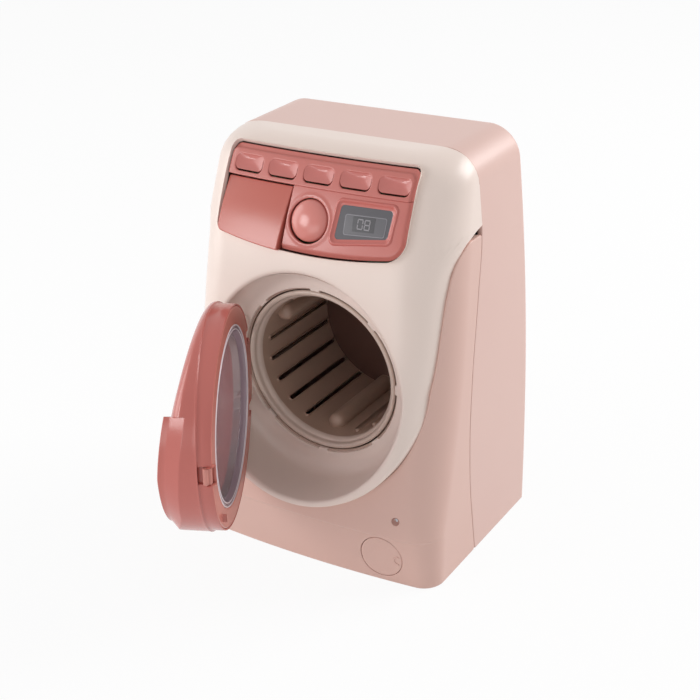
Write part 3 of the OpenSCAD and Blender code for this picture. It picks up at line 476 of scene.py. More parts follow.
# seam between the two halves of the casing: depth by height
sideSeam = hermite([-3, 25, 47, 70, 92, 112, 132, 152, 172, 194, 208],
                   [-6, -10.6, -13.6, -14.6, -14, -11.8, -8.5, -4, 0.8, 6.6, 8.7])
seamSlope = 0.98  # a run along Y against the distance square to that seam

# rear casing

rear = {"gap": 0.14, "roll": 0.55, "topRoll": 0.12, "fade": (205, 215), "step": 1.5, "lip": 2.4,
        "startY": -19.0}


def archLine():
    # section of the cabinet across its width, from the left foot over the top to the right foot
    edge = cabinet["topEdge"]
    up = np.concatenate([np.arange(-3, height - edge, rear["step"]),
                         height - edge + edge * np.sin(np.radians(np.linspace(0, 90, 22)))])
    right = np.stack([halfWidth(up), up], 1)
    left = right * [-1, 1]
    top = np.stack([np.linspace(-right[-1, 0], right[-1, 0], 60)[1:-1], np.full(58, height)], 1)
    return np.vstack([left, top, right[::-1]])


arch = archLine()
archTangent = np.gradient(arch, axis=0)
archTangent /= np.linalg.norm(archTangent, axis=1, keepdims=True)
archInward = np.stack([archTangent[:, 1], -archTangent[:, 0]], 1)
edge = cabinet["backEdge"]
flatY = cabinet["backY"] - edge
layers = [(y, 0.0) for y in np.arange(rear["startY"], flatY, rear["step"])]
layers += [(flatY + edge * math.sin(a), edge * (1 - math.cos(a))) for a in np.radians(np.linspace(0, 90, 9))]
rearLoops = [[(p[0] + n[0] * inset, y, p[1] + n[1] * inset) for p, n in zip(arch, archInward)]
             for y, inset in layers]
rearPoints, rearFaces = ringFaces(rearLoops, closed=False)


def seamRoll(p):
    # the edge is rounder on the flanks than over the top
    return np.interp(p[:, 2], rear["fade"], [rear["roll"], rear["topRoll"]])


def rearKeep(p):
    # keeps what lies behind the side seam and above the ground
    gap = rear["gap"] * np.clip(seamRoll(p) / rear["roll"], 0.3, 1)
    return np.minimum((p[:, 1] - sideSeam(p[:, 2])) * seamSlope - gap, p[:, 2])


rearPoints, rearFaces = trim(rearPoints, rearFaces, rearKeep, seamRoll, rear["lip"])
makePiece("rearShell", rearPoints, rearFaces, "rearAbs", "cabinet", ["rear_casing"],
          sharpDeg=70)

# flat back with its loudspeaker slots and screw wells
back = {"slots": (-45.0, 200.0), "slotPitch": 3.6, "slotWide": 1.6,
        "slotDeep": 2.4, "fieldSquared": 150, "posts": [(74, 24), (-74, 24), (70, 197), (-70, 197)],
        "well": 3.4, "wellDeep": 3.2}
slotSteps = range(-3, 4)


def backFace():
    inset = cabinet["backEdge"]
    outer = [(p[0] + n[0] * inset, p[1] + n[1] * inset) for p, n in zip(arch, archInward)]
    outer = [q for q in outer if q[1] > 0.2]
    outer = [(outer[0][0], 0.0)] + outer + [(outer[-1][0], 0.0)]
    holes = []
    for i in slotSteps:
        aside, wide = i * back["slotPitch"], back["slotWide"]
        tall = 2 * math.sqrt(back["fieldSquared"] - aside ** 2)
        middle = [back["slots"][0] + aside, back["slots"][1]]
        holes.append(roundRect(wide, tall, wide / 2 - 0.01, 6) + middle)
    for x, z in back["posts"]:
        holes.append(np.array(arcPoints(x, z, back["well"], 0, 351, 40)))
    y = cabinet["backY"]
    loops = [[Vector((q[0], q[1], 0)) for q in line] for line in [outer] + [h[::-1] for h in holes]]
    flat = [p for loop in loops for p in loop]
    points = [(p.x, y, p.y) for p in flat]
    faces = [tuple(t) for t in tessellate_polygon(loops)]
    for k, hole in enumerate(holes):
        centre = hole.mean(0)
        isWell = k >= len(slotSteps)
        deep = back["wellDeep"] if isWell else back["slotDeep"]
        wall = [(0, 0), (0.08, 0.18), (0.2, 0.35), (0.25, deep)]
        if isWell:
            wall += [(1.6, deep), (2.2, deep)]
        out = hole - centre
        size = np.linalg.norm(out, axis=1, keepdims=True)
        stack = []
        for inward, down in wall:
            ring = centre + out / size * (size - inward)
            stack.append([(q[0], y - down, q[1]) for q in ring])
        more, moreFaces = ringFaces(stack)
        faces += [tuple(i + len(points) for i in f) for f in moreFaces]
        points += [tuple(q) for q in more]
    return points, faces


backPoints, backFaces = backFace()
makePiece("rearBack", backPoints, backFaces, "rearAbs", "cabinet", sharpDeg=35)
print("rear casing done")

# pink front with its plinth

front = {"step": 1.4, "gap": 0.14, "roll": 0.6, "lip": 3.0, "filter": (56.0, 17.0), "filterHole": 13.75,
         "filterDeep": 2.2, "screws": (66.0, 44.0), "screwHole": 2.5, "screwDeep": 3.5,
         "lowest": -2.8, "fineFrom": 30, "fineTo": 36, "fine": 0.4, "highest": 212, "reach": 150,
         "shoulderFrom": 186, "shoulderSlope": 0.85, "aheadOf": -40}


def pinkGrid():
    # rows over the front that follow its bow and turn round its upright corners, closer at the crease
    heights = np.concatenate([np.arange(front["lowest"], front["fineFrom"], front["step"]),
                              np.arange(front["fineFrom"], front["fineTo"], front["fine"]),
                              np.arange(front["fineTo"], front["highest"], front["step"])])
    lengths = np.arange(-front["reach"], front["reach"] + 0.1, front["step"])
    rows = []
    for z in heights:
        radius = np.interp(z, cornerHeights, pinkCorners)
        half = float(halfWidth(z))
        bend = half - radius
        start = math.atan(2 * cabinet["bow"] * bend / bowAt ** 2)
        wide = radius / (1 - math.sin(start))
        s = np.abs(lengths)
        turn = np.clip(start + (s - bend) / wide, start, math.pi / 2)
        x = np.where(s < bend, s, bend + wide * (np.sin(turn) - math.sin(start)))
        y = np.where(s < bend, cabinet["bow"] * (s / bowAt) ** 2,
                     cabinet["bow"] * (bend / bowAt) ** 2 + wide * (math.cos(start) - np.cos(turn)))
        run = s - bend - wide * (math.pi / 2 - start)
        y = y + np.maximum(run, 0) + float(pinkY(z))
        rows.append(np.stack([x * np.sign(lengths + 1e-9), y, np.full(len(s), z)], 1))
    return ringFaces(rows, closed=False)


def pinkKeep(p):
    # keeps what lies outside the cream panel, ahead of the side seam and above the ground
    x, y, z = p.T
    shoulder = np.where(z > front["shoulderFrom"], (shoulderZ(y) - z) * front["shoulderSlope"], away)
    ahead = np.minimum(bibGap(x, z), shoulder)
    return np.minimum(np.minimum(ahead - front["gap"], (sideSeam(z) - y) * seamSlope - front["gap"]), z)


def frontHole(x, z, radius):
    # keeps what lies outside a round hole in the front
    return lambda p: np.where(p[:, 1] < front["aheadOf"], np.hypot(p[:, 0] - x, p[:, 2] - z), away) - radius


frontPoints, frontFaces = pinkGrid()
frontPoints, frontFaces = trim(frontPoints, frontFaces, pinkKeep, front["roll"], front["lip"])
filterX, filterZ = front["filter"]
screwX, screwZ = front["screws"]
frontHoles = [(filterX, filterZ, front["filterHole"], front["filterDeep"])]
frontHoles += [(side * screwX, screwZ, front["screwHole"], front["screwDeep"]) for side in (-1, 1)]
for x, z, radius, deep in frontHoles:
    frontPoints, frontFaces = trim(frontPoints, frontFaces, frontHole(x, z, radius),
                                   roll=0.3, depth=deep, steps=3)
makePiece("frontShell", frontPoints, frontFaces, "frontAbs", "cabinet", ["front_casing"],
          sharpDeg=70)
print("pink front done")

# cream panel with its bowl

bowl = {"floorY": -36.0, "r": 66.3, "sweep": 10.0, "mouth": 53.6, "tabR": 52.3, "tabHalf": 3.0, "crest": 2.6,
        "tuck": 2.6, "tuckFade": (190, 203), "lip": 2.4, "roll": (0.12, 0.5), "rollFrom": 0.74,
        "faceRows": 92, "nearTab": 0.12, "inTab": 1.6, "pastTab": 1.0, "perGap": 32,
        "shoulderTurns": [42.87, 43.4, 43.95, 44.45, 315.55, 316.05, 316.6, 317.13],
        "rayFrom": (55.0, -10.0), "rayLong": 190.0, "rayStop": 106, "coarse": 640, "rays": 420}
tabTurn = math.degrees(bowl["tabHalf"] / bowl["mouth"])


def wallR(y):
    # the wall widens a little towards the front
    return bowl["r"] + np.interp(-y, [46, 62, 100], [0, 0.8, 2.2])


def columnTurns():
    # close columns at the edges of the eight tabs and at the ends of the shoulder line, wide ones between
    half, near, inTab, past = tabTurn, bowl["nearTab"], bowl["inTab"], bowl["pastTab"]
    perTab = (-half - near, -half + near, -inTab, 0, inTab, half - near, half + near)
    turns = list(bowl["shoulderTurns"])
    for middle in range(0, 360, 45):
        turns += [middle + q for q in perTab]
        turns += list(np.linspace(middle + half + past, middle + 45 - half - past, bowl["perGap"]))
    return np.array(sorted(set(np.round(np.mod(turns, 360), 3))))


def creamInside(x, y, z):
    return (np.abs(x) < halfWidth(z)) & (y > creamFront(x, z)) & (z < height) & (bibGap(x, z) < 0)


def creamEnd(x, z):
    # how far back the cream skin runs before it meets its neighbour
    low = pinkFront(np.minimum(np.abs(x), halfWidth(z)), z) + bowl["tuck"]
    fadeFrom, fadeTo = bowl["tuckFade"]
    tuck = np.clip((fadeTo - z) / (fadeTo - fadeFrom), 0, 1)
    return np.where(z >= shoulderLine[-1][1], cabinet["topSeam"] - 0.05,
                    np.where(z > fadeFrom, shoulderY(z) + bowl["tuck"] * tuck, low))


def castRays(turn, angles):
    # where rays from inside the body leave it, in the half plane of each turn about the drum axis
    startR, startY = bowl["rayFrom"]
    s0, s1 = np.zeros_like(angles), np.full_like(angles, bowl["rayLong"])
    sinT, cosT = np.sin(turn)[:, None], np.cos(turn)[:, None]
    for _ in range(34):
        s = (s0 + s1) / 2
        r, y = startR + s * np.sin(angles), startY - s * np.cos(angles)
        hit = creamInside(r * sinT, y, drumZ + r * cosT)
        s0, s1 = np.where(hit, s, s0), np.where(hit, s1, s)
    s = (s0 + s1) / 2
    return startR + s * np.sin(angles), startY - s * np.cos(angles)


def alongPath(path):
    # length run up to each point of a path
    return np.concatenate([[0], np.cumsum(np.linalg.norm(np.diff(path, axis=0), axis=1))])


def resample(path, count, soften):
    # even spacing along a path after its corners are softened over a length
    steps = 700
    length = alongPath(path)
    fine = np.linspace(0, length[-1], steps)
    line = np.stack([np.interp(fine, length, path[:, k]) for k in range(2)], 1)
    spread = int(round(soften / length[-1] * steps))
    if spread > 0:
        total = np.vstack([[0, 0], np.cumsum(line, axis=0)])
        i = np.arange(steps)
        half = np.minimum(np.minimum(i, steps - 1 - i), spread)
        line = (total[i + half + 1] - total[i - half]) / (2 * half + 1)[:, None]
    length = alongPath(line)
    even = np.linspace(0, length[-1], count)
    return np.stack([np.interp(even, length, line[:, k]) for k in range(2)], 1)


def faceRays(turns):
    # the cream face from the crest of the bowl out to the seam, as radius and depth for each turn
    crest, (startR, startY) = bowl["crest"], bowl["rayFrom"]
    crestR = np.full(len(turns), bowl["r"] + 1.2 + crest)
    for _ in range(3):
        crestY = creamFront(crestR * np.sin(turns), drumZ + crestR * np.cos(turns))
        crestR = wallR(crestY + crest) + crest
    first = np.arctan2(crestR - startR, -(crestY - startY))
    sweep = math.radians(bowl["rayStop"]) - first
    angles = first[:, None] + sweep[:, None] * np.linspace(0, 1, bowl["coarse"])
    r, y = castRays(turns, angles)
    past = y > creamEnd(r * np.sin(turns)[:, None], drumZ + r * np.cos(turns)[:, None])
    past[:, :3] = False
    last = np.where(past.any(1), past.argmax(1), angles.shape[1] - 1)
    end = angles[np.arange(len(turns)), last]
    return castRays(turns, first[:, None] + (end - first)[:, None] * np.linspace(0, 1, bowl["rays"]))


def bowlInner(mouth, face):
    # section from the mouth over the floor and up the wall to where the face begins
    floor, sweep = bowl["floorY"], bowl["sweep"]
    path = [(mouth, floor + 2.4), (mouth, floor + 0.45), (mouth + 0.12, floor + 0.14), (mouth + 0.4, floor),
            (mouth + 0.7, floor)]
    middle = bowl["r"] - sweep
    path += [(max(middle + sweep * math.sin(a), mouth + 0.75), floor - sweep * (1 - math.cos(a)))
             for a in np.radians(np.linspace(0, 90, 12))]
    wallEnd = face[0, 1] + bowl["crest"]
    path += [(float(wallR(v)), v) for v in np.linspace(floor - sweep, wallEnd, 8)[1:]]
    corner = np.array([float(wallR(wallEnd)), face[0, 1]])
    a, b = np.array(path[-1]), face[0]
    path += [tuple(a * (1 - t) ** 2 + corner * 2 * t * (1 - t) + b * t * t)
             for t in np.linspace(0, 1, 8)[1:-1]]
    return path


def creamColumns():
    degrees = columnTurns()
    turns = np.radians(degrees)
    r, y = faceRays(turns)
    rows = []
    for k, turn in enumerate(turns):
        high = np.cos(turn)
        soften = np.interp(high, [-0.3, 0.35], [2.4, 0.4])  # the edge is softer low down than over the top
        face = resample(np.stack([r[k], y[k]], 1), bowl["faceRows"], soften)
        onTab = abs((degrees[k] + 22.5) % 45 - 22.5) <= tabTurn
        path = np.vstack([bowlInner(bowl["tabR"] if onTab else bowl["mouth"], face), face])
        along = path[-1] - path[-2]
        along /= np.linalg.norm(along)
        inward = np.array([along[1], -along[0]])
        inward *= np.sign(inward @ (np.array(bowl["rayFrom"]) - path[-1]))
        roll = bowl["roll"][0] if high > bowl["rollFrom"] else bowl["roll"][1]
        lips = [path[-1] + along * roll * math.sin(t) + inward * roll * (1 - math.cos(t))
                for t in np.radians([30, 60, 90])]
        path = np.vstack([path, lips, lips[-1] + inward * bowl["lip"]])
        rows.append(np.stack([path[:, 0] * math.sin(turn), path[:, 1], drumZ + path[:, 0] * high], 1))
    points = np.array(rows)
    return points.reshape(-1, 3), wrapFaces(*points.shape[:2])


controls = {"half": 62.6, "top": 244.4, "bottom": 193.0, "bottomBow": 0.0013, "split": 215.0,
            "topCorner": 4.5, "lowCorner": (3.2, 10.0), "recess": 2.6, "gap": 0.08, "aheadOf": -8}


def boxGap(x, z, left, right, low, high, radius):
    # signed distance to a soft-cornered rectangle, negative inside
    cx, cz = (left + right) / 2, (low + high) / 2
    dx = np.abs(x - cx) - (right - left) / 2 + radius
    dz = np.abs(z - cz) - (high - low) / 2 + radius
    return np.hypot(np.maximum(dx, 0), np.maximum(dz, 0)) + np.minimum(np.maximum(dx, dz), 0) - radius


def panelGap(x, z):
    # distance outside the opening of the control panel, whose lower edge is bowed
    low = z - controls["bottomBow"] * x ** 2
    middle, half = controls["split"], controls["half"]
    upper = boxGap(x, z, -half, half, middle - 30, controls["top"], controls["topCorner"])
    corner = np.where(x < 0, *controls["lowCorner"])
    lower = boxGap(x, low, -half, half, controls["bottom"], middle + 30, corner)
    return np.where(z > middle, upper, lower)


def openingKeep(p):
    # keeps what lies outside the opening of the control panel
    return np.where(p[:, 1] < controls["aheadOf"], panelGap(p[:, 0], p[:, 2]), away) - controls["gap"]


creamPoints, creamFaces = trim(*creamColumns(), openingKeep, roll=0.2, depth=controls["recess"])
makePiece("creamPanel", creamPoints, creamFaces, "creamAbs", "cabinet", ["front_panel"],
          sharpDeg=60)
print("cream panel done")

# control panel


def faceNormal(x, z):
    step = 0.05
    across = (creamFront(x + step, z) - creamFront(x - step, z)) / (2 * step)
    upward = (creamFront(x, z + step) - creamFront(x, z - step)) / (2 * step)
    normal = np.stack([across, -np.ones_like(across), upward], -1)
    return normal / np.linalg.norm(normal, axis=-1, keepdims=True)


def onFace(x, z, proud):
    # points over the cream face, standing out of it by so much
    x, z, proud = np.broadcast_arrays(np.asarray(x, float), np.asarray(z, float), np.asarray(proud, float))
    return np.stack([x, creamFront(x, z), z], -1) + faceNormal(x, z) * proud[..., None]


def softPolygon(corners, inset, radius, perCorner=7):
    # convex outline, anticlockwise, moved in by inset, with rounded corners
    corners = np.asarray(corners, float)
    count = len(corners)
    lines = []
    for k in range(count):
        a, b = corners[k], corners[(k + 1) % count]
        along = (b - a) / np.linalg.norm(b - a)
        inward = np.array([-along[1], along[0]])
        lines.append((a + inward * inset, along, inward))
    outline = []
    for k in range(count):
        (p, d, n), (q, e, m) = lines[k - 1], lines[k]
        corner = p + d * np.linalg.solve(np.stack([d, -e], 1), q - p)[0]
        half = math.acos(np.clip(d @ e, -1, 1)) / 2
        reach = radius * math.tan(half)
        centre = corner - d * reach + n * radius
        first = math.atan2(-n[1], -n[0])
        outline += [centre + radius * np.array([math.cos(first + t), math.sin(first + t)])
                    for t in np.linspace(0, 2 * half, perCorner)]
    return np.array(outline)


def faceStack(outlines, prouds, capEnd=True):
    # skin over outlines on the face, one height each, closed at the last one
    loops = [onFace(o[:, 0], o[:, 1], h) for o, h in zip(outlines, prouds)]
    return ringFaces(loops, capEnd=capEnd)


key = {"pitch": 24.4, "x": 0.5, "z": 235.2, "wide": 19.4, "tall": 8.4, "corner": 3.0, "gap": 0.05, "rim": 1.3,
       "dish": 1.6, "dishPower": 2.4, "scoop": (0.8, 1.3), "skirt": 2.0, "rings": 22, "count": 5}
knob = {"z": 211.4, "x": -0.3, "wide": 1.07, "r": 11.3, "hole": 11.9, "dome": 3.4}
display = {"outer": [(14.0, 200.2), (53.9, 205.2), (55.5, 226.2), (16.2, 225.7)],
           "label": [(17.2, 201.7), (51.8, 206.2), (52.8, 223.6), (19.0, 223.0)],
           "screen": [(23.0, 207.2), (48.7, 208.6), (49.0, 218.8), (22.6, 218.2)],
           "block": [(28.3, 209.6), (42.2, 210.4), (42.0, 218.0), (27.6, 217.5)]}
drawer = {"axis": (91.0, 137.0), "r": 150.0, "top": 227.2, "right": -15.7, "low": 193.0, "slant": 2.0,
          "gap": 1.25, "roll": 0.6, "edgeGap": 0.45, "reachX": (-64.4, -12.9), "reachZ": (189.8, 229.6),
          "step": 0.6}
strip = {"z": 228.7, "proud": 1.45, "rim": 0.15, "border": 2.2, "borderTop": 2.7, "blend": 1.5, "corner": 3.6,
         "edgeGap": 0.1, "reachX": (-64, 64.1), "stepX": 0.62, "reachZ": (227.6, 246), "stepZ": 0.42}
lower = {"sunk": -0.35, "rise": 1.15, "edge": 1.0, "fall": 2.2, "bead": 0.3, "beadAt": 1.2, "beadWide": 0.8,
         "displayGap": 1.9, "reachX": (-17.5, 64.1), "reachZ": (191, 230.2), "step": 0.6}


def stripPlateau(x, z):
    # signed distance into the raised field of the key strip
    left, right = -controls["half"] + strip["edgeGap"], controls["half"] - strip["border"]
    return -boxGap(x, z, left, right, strip["z"] - 4, controls["top"] - strip["borderTop"], strip["corner"])


def keyMiddle(i):
    return (i - key["count"] // 2) * key["pitch"] + key["x"]


def keyHole(x, z):
    wide, tall = key["wide"] / 2, key["tall"] / 2
    low, high = key["z"] - tall, key["z"] + tall
    gaps = [boxGap(x, z, keyMiddle(i) - wide, keyMiddle(i) + wide, low, high, key["corner"])
            for i in range(key["count"])]
    return np.min(gaps, axis=0)


def faceGrid(xs, zs, proud):
    x, z = np.meshgrid(xs, zs)
    points = onFace(x, z, proud(x, z)).reshape(-1, 3)
    return points, gridFaces(len(zs), len(xs))


def stripProud(x, z):
    # low rim round a raised field
    rise = strip["proud"] - strip["rim"]
    return strip["rim"] + rise * ease(stripPlateau(x, z) / strip["blend"] + 0.5)


def stripKeep(p):
    return np.minimum(-panelGap(p[:, 0], p[:, 2]) - strip["edgeGap"], p[:, 2] - strip["z"])


def besideKeys(p):
    return keyHole(p[:, 0], p[:, 2]) - key["gap"]


stripPoints, stripFaces = faceGrid(np.arange(*strip["reachX"], strip["stepX"]),
                                   np.arange(*strip["reachZ"], strip["stepZ"]), stripProud)
stripPoints, stripFaces = trim(stripPoints, stripFaces, stripKeep, roll=0.35, depth=3.0)
stripPoints, stripFaces = trim(stripPoints, stripFaces, besideKeys, roll=0.7, depth=1.8)
makePiece("keyStrip", stripPoints, stripFaces, "panelAbs", "cabinet", ["control_panel"], sharpDeg=60)


def quadGap(corners, x, z):
    # distance outside a convex anticlockwise outline
    corners = np.asarray(corners, float)
    gaps = []
    for k in range(len(corners)):
        a, b = corners[k], corners[(k + 1) % len(corners)]
        along = (b - a) / np.linalg.norm(b - a)
        gaps.append((x - a[0]) * along[1] - (z - a[1]) * along[0])
    return np.max(gaps, axis=0)


def lowerProud(x, z):
    # bottom and right edges fall away, a soft bead runs round the start button
    edge = -panelGap(x, z)
    bead = lower["bead"] * np.exp(-((knobGap(x, z) - lower["beadAt"]) / lower["beadWide"]) ** 2)
    return lower["sunk"] + lower["rise"] * ease((edge - lower["edge"]) / lower["fall"]) + bead


def knobGap(x, z):
    return np.hypot((x - knob["x"]) / knob["wide"], z - knob["z"]) - knob["hole"]


def drawerEdge(z):
    # right edge of the drawer front
    share = np.clip((drawer["top"] - z) / (drawer["top"] - drawer["low"]), 0, 1.2)
    return drawer["right"] - drawer["slant"] * share ** 1.3


def lowerKeep(p):
    # keeps what the key strip, the start button, the drawer and the display leave free
    x, z = p[:, 0], p[:, 2]
    keep = np.minimum(-panelGap(x, z) - drawer["edgeGap"], strip["z"] - strip["edgeGap"] - z)
    keep = np.minimum(keep, knobGap(x, z))
    keep = np.minimum(keep, x - drawerEdge(z) - drawer["gap"])
    return np.minimum(keep, quadGap(display["outer"], x, z) + lower["displayGap"])


lowerPoints, lowerFaces = faceGrid(np.arange(*lower["reachX"], lower["step"]),
                                   np.arange(*lower["reachZ"], lower["step"]), lowerProud)
lowerPoints, lowerFaces = trim(lowerPoints, lowerFaces, lowerKeep, roll=0.5, depth=2.6)
makePiece("lowerPanel", lowerPoints, lowerFaces, "panelAbs", "cabinet", sharpDeg=60)

# soap drawer front: part of a wide cylinder, so it bulges out towards its lower edge


def drawerKeep(p):
    x, z = p[:, 0], p[:, 2]
    return np.minimum(np.minimum(-panelGap(x, z) - drawer["edgeGap"], drawer["top"] - z), drawerEdge(z) - x)


x, z = np.meshgrid(np.arange(*drawer["reachX"], drawer["step"]), np.arange(*drawer["reachZ"], drawer["step"]))
axisY, axisZ = drawer["axis"]
y = axisY - np.sqrt(drawer["r"] ** 2 - (z - axisZ) ** 2) + cabinet["bow"] * (x / bowAt) ** 2
points = np.stack([x, y, z], -1).reshape(-1, 3)
drawerPoints, drawerFaces = trim(points, gridFaces(*x.shape), drawerKeep, drawer["roll"], depth=5.0, steps=5)
makePiece("drawerFace", drawerPoints, drawerFaces, "drawerAbs", "drawer", ["drawer_front"],
          sharpDeg=60)

# five scooped keys, deepest a little above their middle
rounded = roundRect(key["wide"], key["tall"], key["corner"], 12)
for i in range(key["count"]):
    loops = [onFace(rounded[:, 0] + keyMiddle(i), rounded[:, 1] + key["z"], -key["skirt"])]
    for q in np.linspace(1.0, 0.02, key["rings"]):
        flat = rounded * q
        across, up = np.abs(flat[:, 0] / key["wide"] * 2), np.abs(flat[:, 1] / key["tall"] * 2)
        depth = key["dish"] * (1 - across ** key["dishPower"]) * (1 - up ** key["dishPower"])
        x = flat[:, 0] + keyMiddle(i) + key["scoop"][0] * (1 - q)
        loops.append(onFace(x, flat[:, 1] + key["z"] + key["scoop"][1] * (1 - q), key["rim"] - depth))
    points, faces = ringFaces(loops, capEnd=True)
    number = i + 1
    makePiece("keyPad%d" % number, points, faces, "keyAbs", "key_%d" % number,
              ["programme_key_%d" % number], sharpDeg=60)

# start button: a round dome in its recess
turns = np.radians(np.arange(0, 360, 4))
circle = np.stack([np.cos(turns), np.sin(turns)], 1)
oval = circle * [knob["wide"], 1]
skirt = 1.3  # the dome begins this far below the face
profile = [(knob["r"], -2.4), (knob["r"], -skirt)]
profile += [(knob["r"] * math.cos(a), -skirt + (knob["dome"] + skirt) * math.sin(a) ** 0.85)
            for a in np.radians(np.linspace(4, 89.5, 20))]
points, faces = faceStack([oval * r + [knob["x"], knob["z"]] for r, h in profile], [h for r, h in profile])
makePiece("startDome", points, faces, "buttonAbs", "start", ["start_button"], sharpDeg=60)

# display: raised rim, grey label, paler screen with its darker number field
rim = [(-0.25, -0.6, 4.2), (-0.2, 0.6, 4.2), (0.1, 1.1, 4.0), (0.5, 1.55, 3.8), (0.9, 1.7, 3.6),
       (1.2, 1.65, 3.4), (1.5, 1.4, 3.2), (2.0, 0.85, 3.0), (2.4, 0.55, 2.8), (3.3, 0.4, 2.2),
       (3.5, -0.4, 2.0)]
outlines = [softPolygon(display["outer"], inset, radius) for inset, h, radius in rim]
points, faces = faceStack(outlines, [h for inset, h, radius in rim], capEnd=False)
makePiece("displayRim", points, faces, "bezelAbs", "cabinet", ["display_bezel"], sharpDeg=60)


def film(name, corners, radius, proud, thick, material, stands=()):
    # thin sheet lying on the face, with a soft edge
    shares = [(0.0, proud - thick), (0.0, proud - 0.1), (0.08, proud), (0.25, proud)]
    outlines = [softPolygon(corners, inset, max(radius - inset, 0.2)) for inset, h in shares]
    heights = [h for inset, h in shares]
    centre = outlines[-1].mean(0)
    for q in (0.66, 0.33):
        outlines.append(centre + (outlines[3] - centre) * q)
        heights.append(proud)
    points, faces = faceStack(outlines, heights)
    makePiece(name, points, faces, material, "cabinet", stands, sharpDeg=40)


screenInside = np.array(display["screen"]) + 0.4 * np.array([(1, 1), (-1, 1), (-1, -1), (1, -1)])
film("labelSheet", display["label"], 3.2, 0.3, 0.5, "labelFilm", stands=["display_label"])
film("screenEdge", display["screen"], 1.4, 0.38, 0.2, "screenEdge")
film("screenSheet", screenInside, 1.1, 0.42, 0.2, "screenFilm")
film("numberField", display["block"], 0.5, 0.46, 0.2, "screenDark")

# the number 08 in seven-bar strokes
digit = {"tall": 4.9, "wide": 3.1, "bar": 0.62, "places": (32.9, 37.3), "z": 213.9,
         "bars": ("abcdef", "abcdefg"), "proud": (0.44, 0.56)}
numberPoints, numberFaces = [], []
for place, lit in zip(digit["places"], digit["bars"]):
    w, h, b = digit["wide"] / 2, digit["tall"] / 2, digit["bar"] / 2
    boxes = {"a": (-w, w, h - b, h + b), "d": (-w, w, -h - b, -h + b), "g": (-w, w, -b, b),
             "b": (w - b, w + b, b, h - b), "c": (w - b, w + b, -h + b, -b),
             "f": (-w - b, -w + b, b, h - b), "e": (-w - b, -w + b, -h + b, -b)}
    for bar in lit:
        x0, x1, z0, z1 = boxes[bar]
        square = np.array([(x0, z0), (x1, z0), (x1, z1), (x0, z1)]) + [place, digit["z"]]
        points, faces = faceStack([square, square], digit["proud"])
        numberFaces += [tuple(i + len(numberPoints) for i in f) for f in faces]
        numberPoints += [tuple(q) for q in points]
makePiece("displayNumber", np.array(numberPoints), numberFaces, "digitInk", "cabinet", ["display_digits"],
          sharpDeg=30)
print("control panel done")

# drum


def onDrumAxis(points):
    # local Z runs back along the axis, local X to the right, local Y down
    points = np.asarray(points, float)
    return np.stack([points[:, 0], points[:, 2], drumZ - points[:, 1]], 1)


drum = {"lip": 51.5, "inner": 46.0, "wall": 1.6, "back": 45.9, "slotWide": 2.9, "slots": (-153, 87, -33),
        "pitch": 18, "slotFrom": -22.0, "slotTo": 43.5, "wallFrom": -27, "step": 1.6, "around": 400,
        "lifters": (27, 147, 267), "lifterR": 5.6, "lifterAt": 44.2, "nose": -13.9}


def slotGap(p):
    # distance outside the drain slots of the drum wall
    angle = np.degrees(np.arctan2(p[:, 1], p[:, 0]))
    radius = np.hypot(p[:, 0], p[:, 1])
    gaps = []
    for group in drum["slots"]:
        for i in range(-2, 3):
            aside = np.radians((angle + (group + i * drum["pitch"]) + 180) % 360 - 180) * radius
            along = p[:, 2] - np.clip(p[:, 2], drum["slotFrom"] + 1, drum["slotTo"] - 1)
            gaps.append(np.hypot(aside, along) - drum["slotWide"] / 2)
    return np.min(gaps, axis=0)


def slotKeep(p, margin):
    # keeps what lies outside the slots widened by a margin; the lip in front has none
    return np.where(p[:, 2] > drum["wallFrom"], slotGap(p) - margin, 9)


inner = drum["inner"]
shellIn = [(inner, h) for h in np.arange(drum["back"], -27.9, -drum["step"])]
lipCurve = [(inner + out, h) for out, h in (
    (0, -28.6), (0.15, -29.6), (0.7, -30.6), (1.35, -31.3), (1.9, -31.45), (2.2, -31.9), (2.25, -33.2),
    (2.45, -33.95), (2.9, -34.55), (3.5, -34.9), (4.1, -35.0), (4.7, -34.85), (5.2, -34.4))]
lipCurve += [(drum["lip"], -33.8), (drum["lip"], -32.7), (drum["lip"] - 0.3, -32.3)]
shellOut = [(inner + drum["wall"], h) for h in np.arange(-28.5, drum["back"], drum["step"])]
# the wall, its outside and the lifters take the darkened copy of the drum's ABS as painted shade, the lip a
# paler copy as painted light
points, faces = lathe((shellIn + lipCurve[:2])[::-1], steps=drum["around"])
points, faces = trim(points, faces, lambda p: slotKeep(p, 0), roll=0.25, depth=drum["wall"] - 0.3, steps=3)
makePiece("drumWall", onDrumAxis(points), faces, "shadedDrumAbs", "drum", ["drum_shell"], sharpDeg=60)
points, faces = lathe(lipCurve[::-1], steps=200)
makePiece("drumLip", onDrumAxis(points), faces, "litDrumLipAbs", "drum", sharpDeg=60)
points, faces = lathe(shellOut, steps=drum["around"])
points, faces = trim(points, faces, lambda p: slotKeep(p, 0.2), roll=0.05, depth=0.1, steps=2)
makePiece("drumOutside", onDrumAxis(points), faces, "shadedDrumAbs", "drum", sharpDeg=60)


def lifter(angle):
    # long half-round rib with a ball nose
    radius, nose, at = drum["lifterR"], drum["nose"], drum["lifterAt"]
    rings = [(0.02, nose - radius)]
    rings += [(radius * math.sin(a), nose - radius * math.cos(a)) for a in np.radians(np.linspace(12, 90, 9))]
    rings += [(radius, h) for h in np.linspace(nose + 3, drum["back"], 12)]
    loops = [[(at + min(r * math.cos(t), inner + 0.7 - at), r * math.sin(t), h)
              for t in np.radians(np.arange(0, 360, 8))] for r, h in rings]
    points, faces = ringFaces(loops, capStart=True)
    return points @ turned(-angle, "Z").T, faces


for k, angle in enumerate(drum["lifters"]):
    points, faces = lifter(angle)
    makePiece("lifter%d" % (k + 1), onDrumAxis(points), faces, "shadedDrumAbs", "drum", sharpDeg=60)
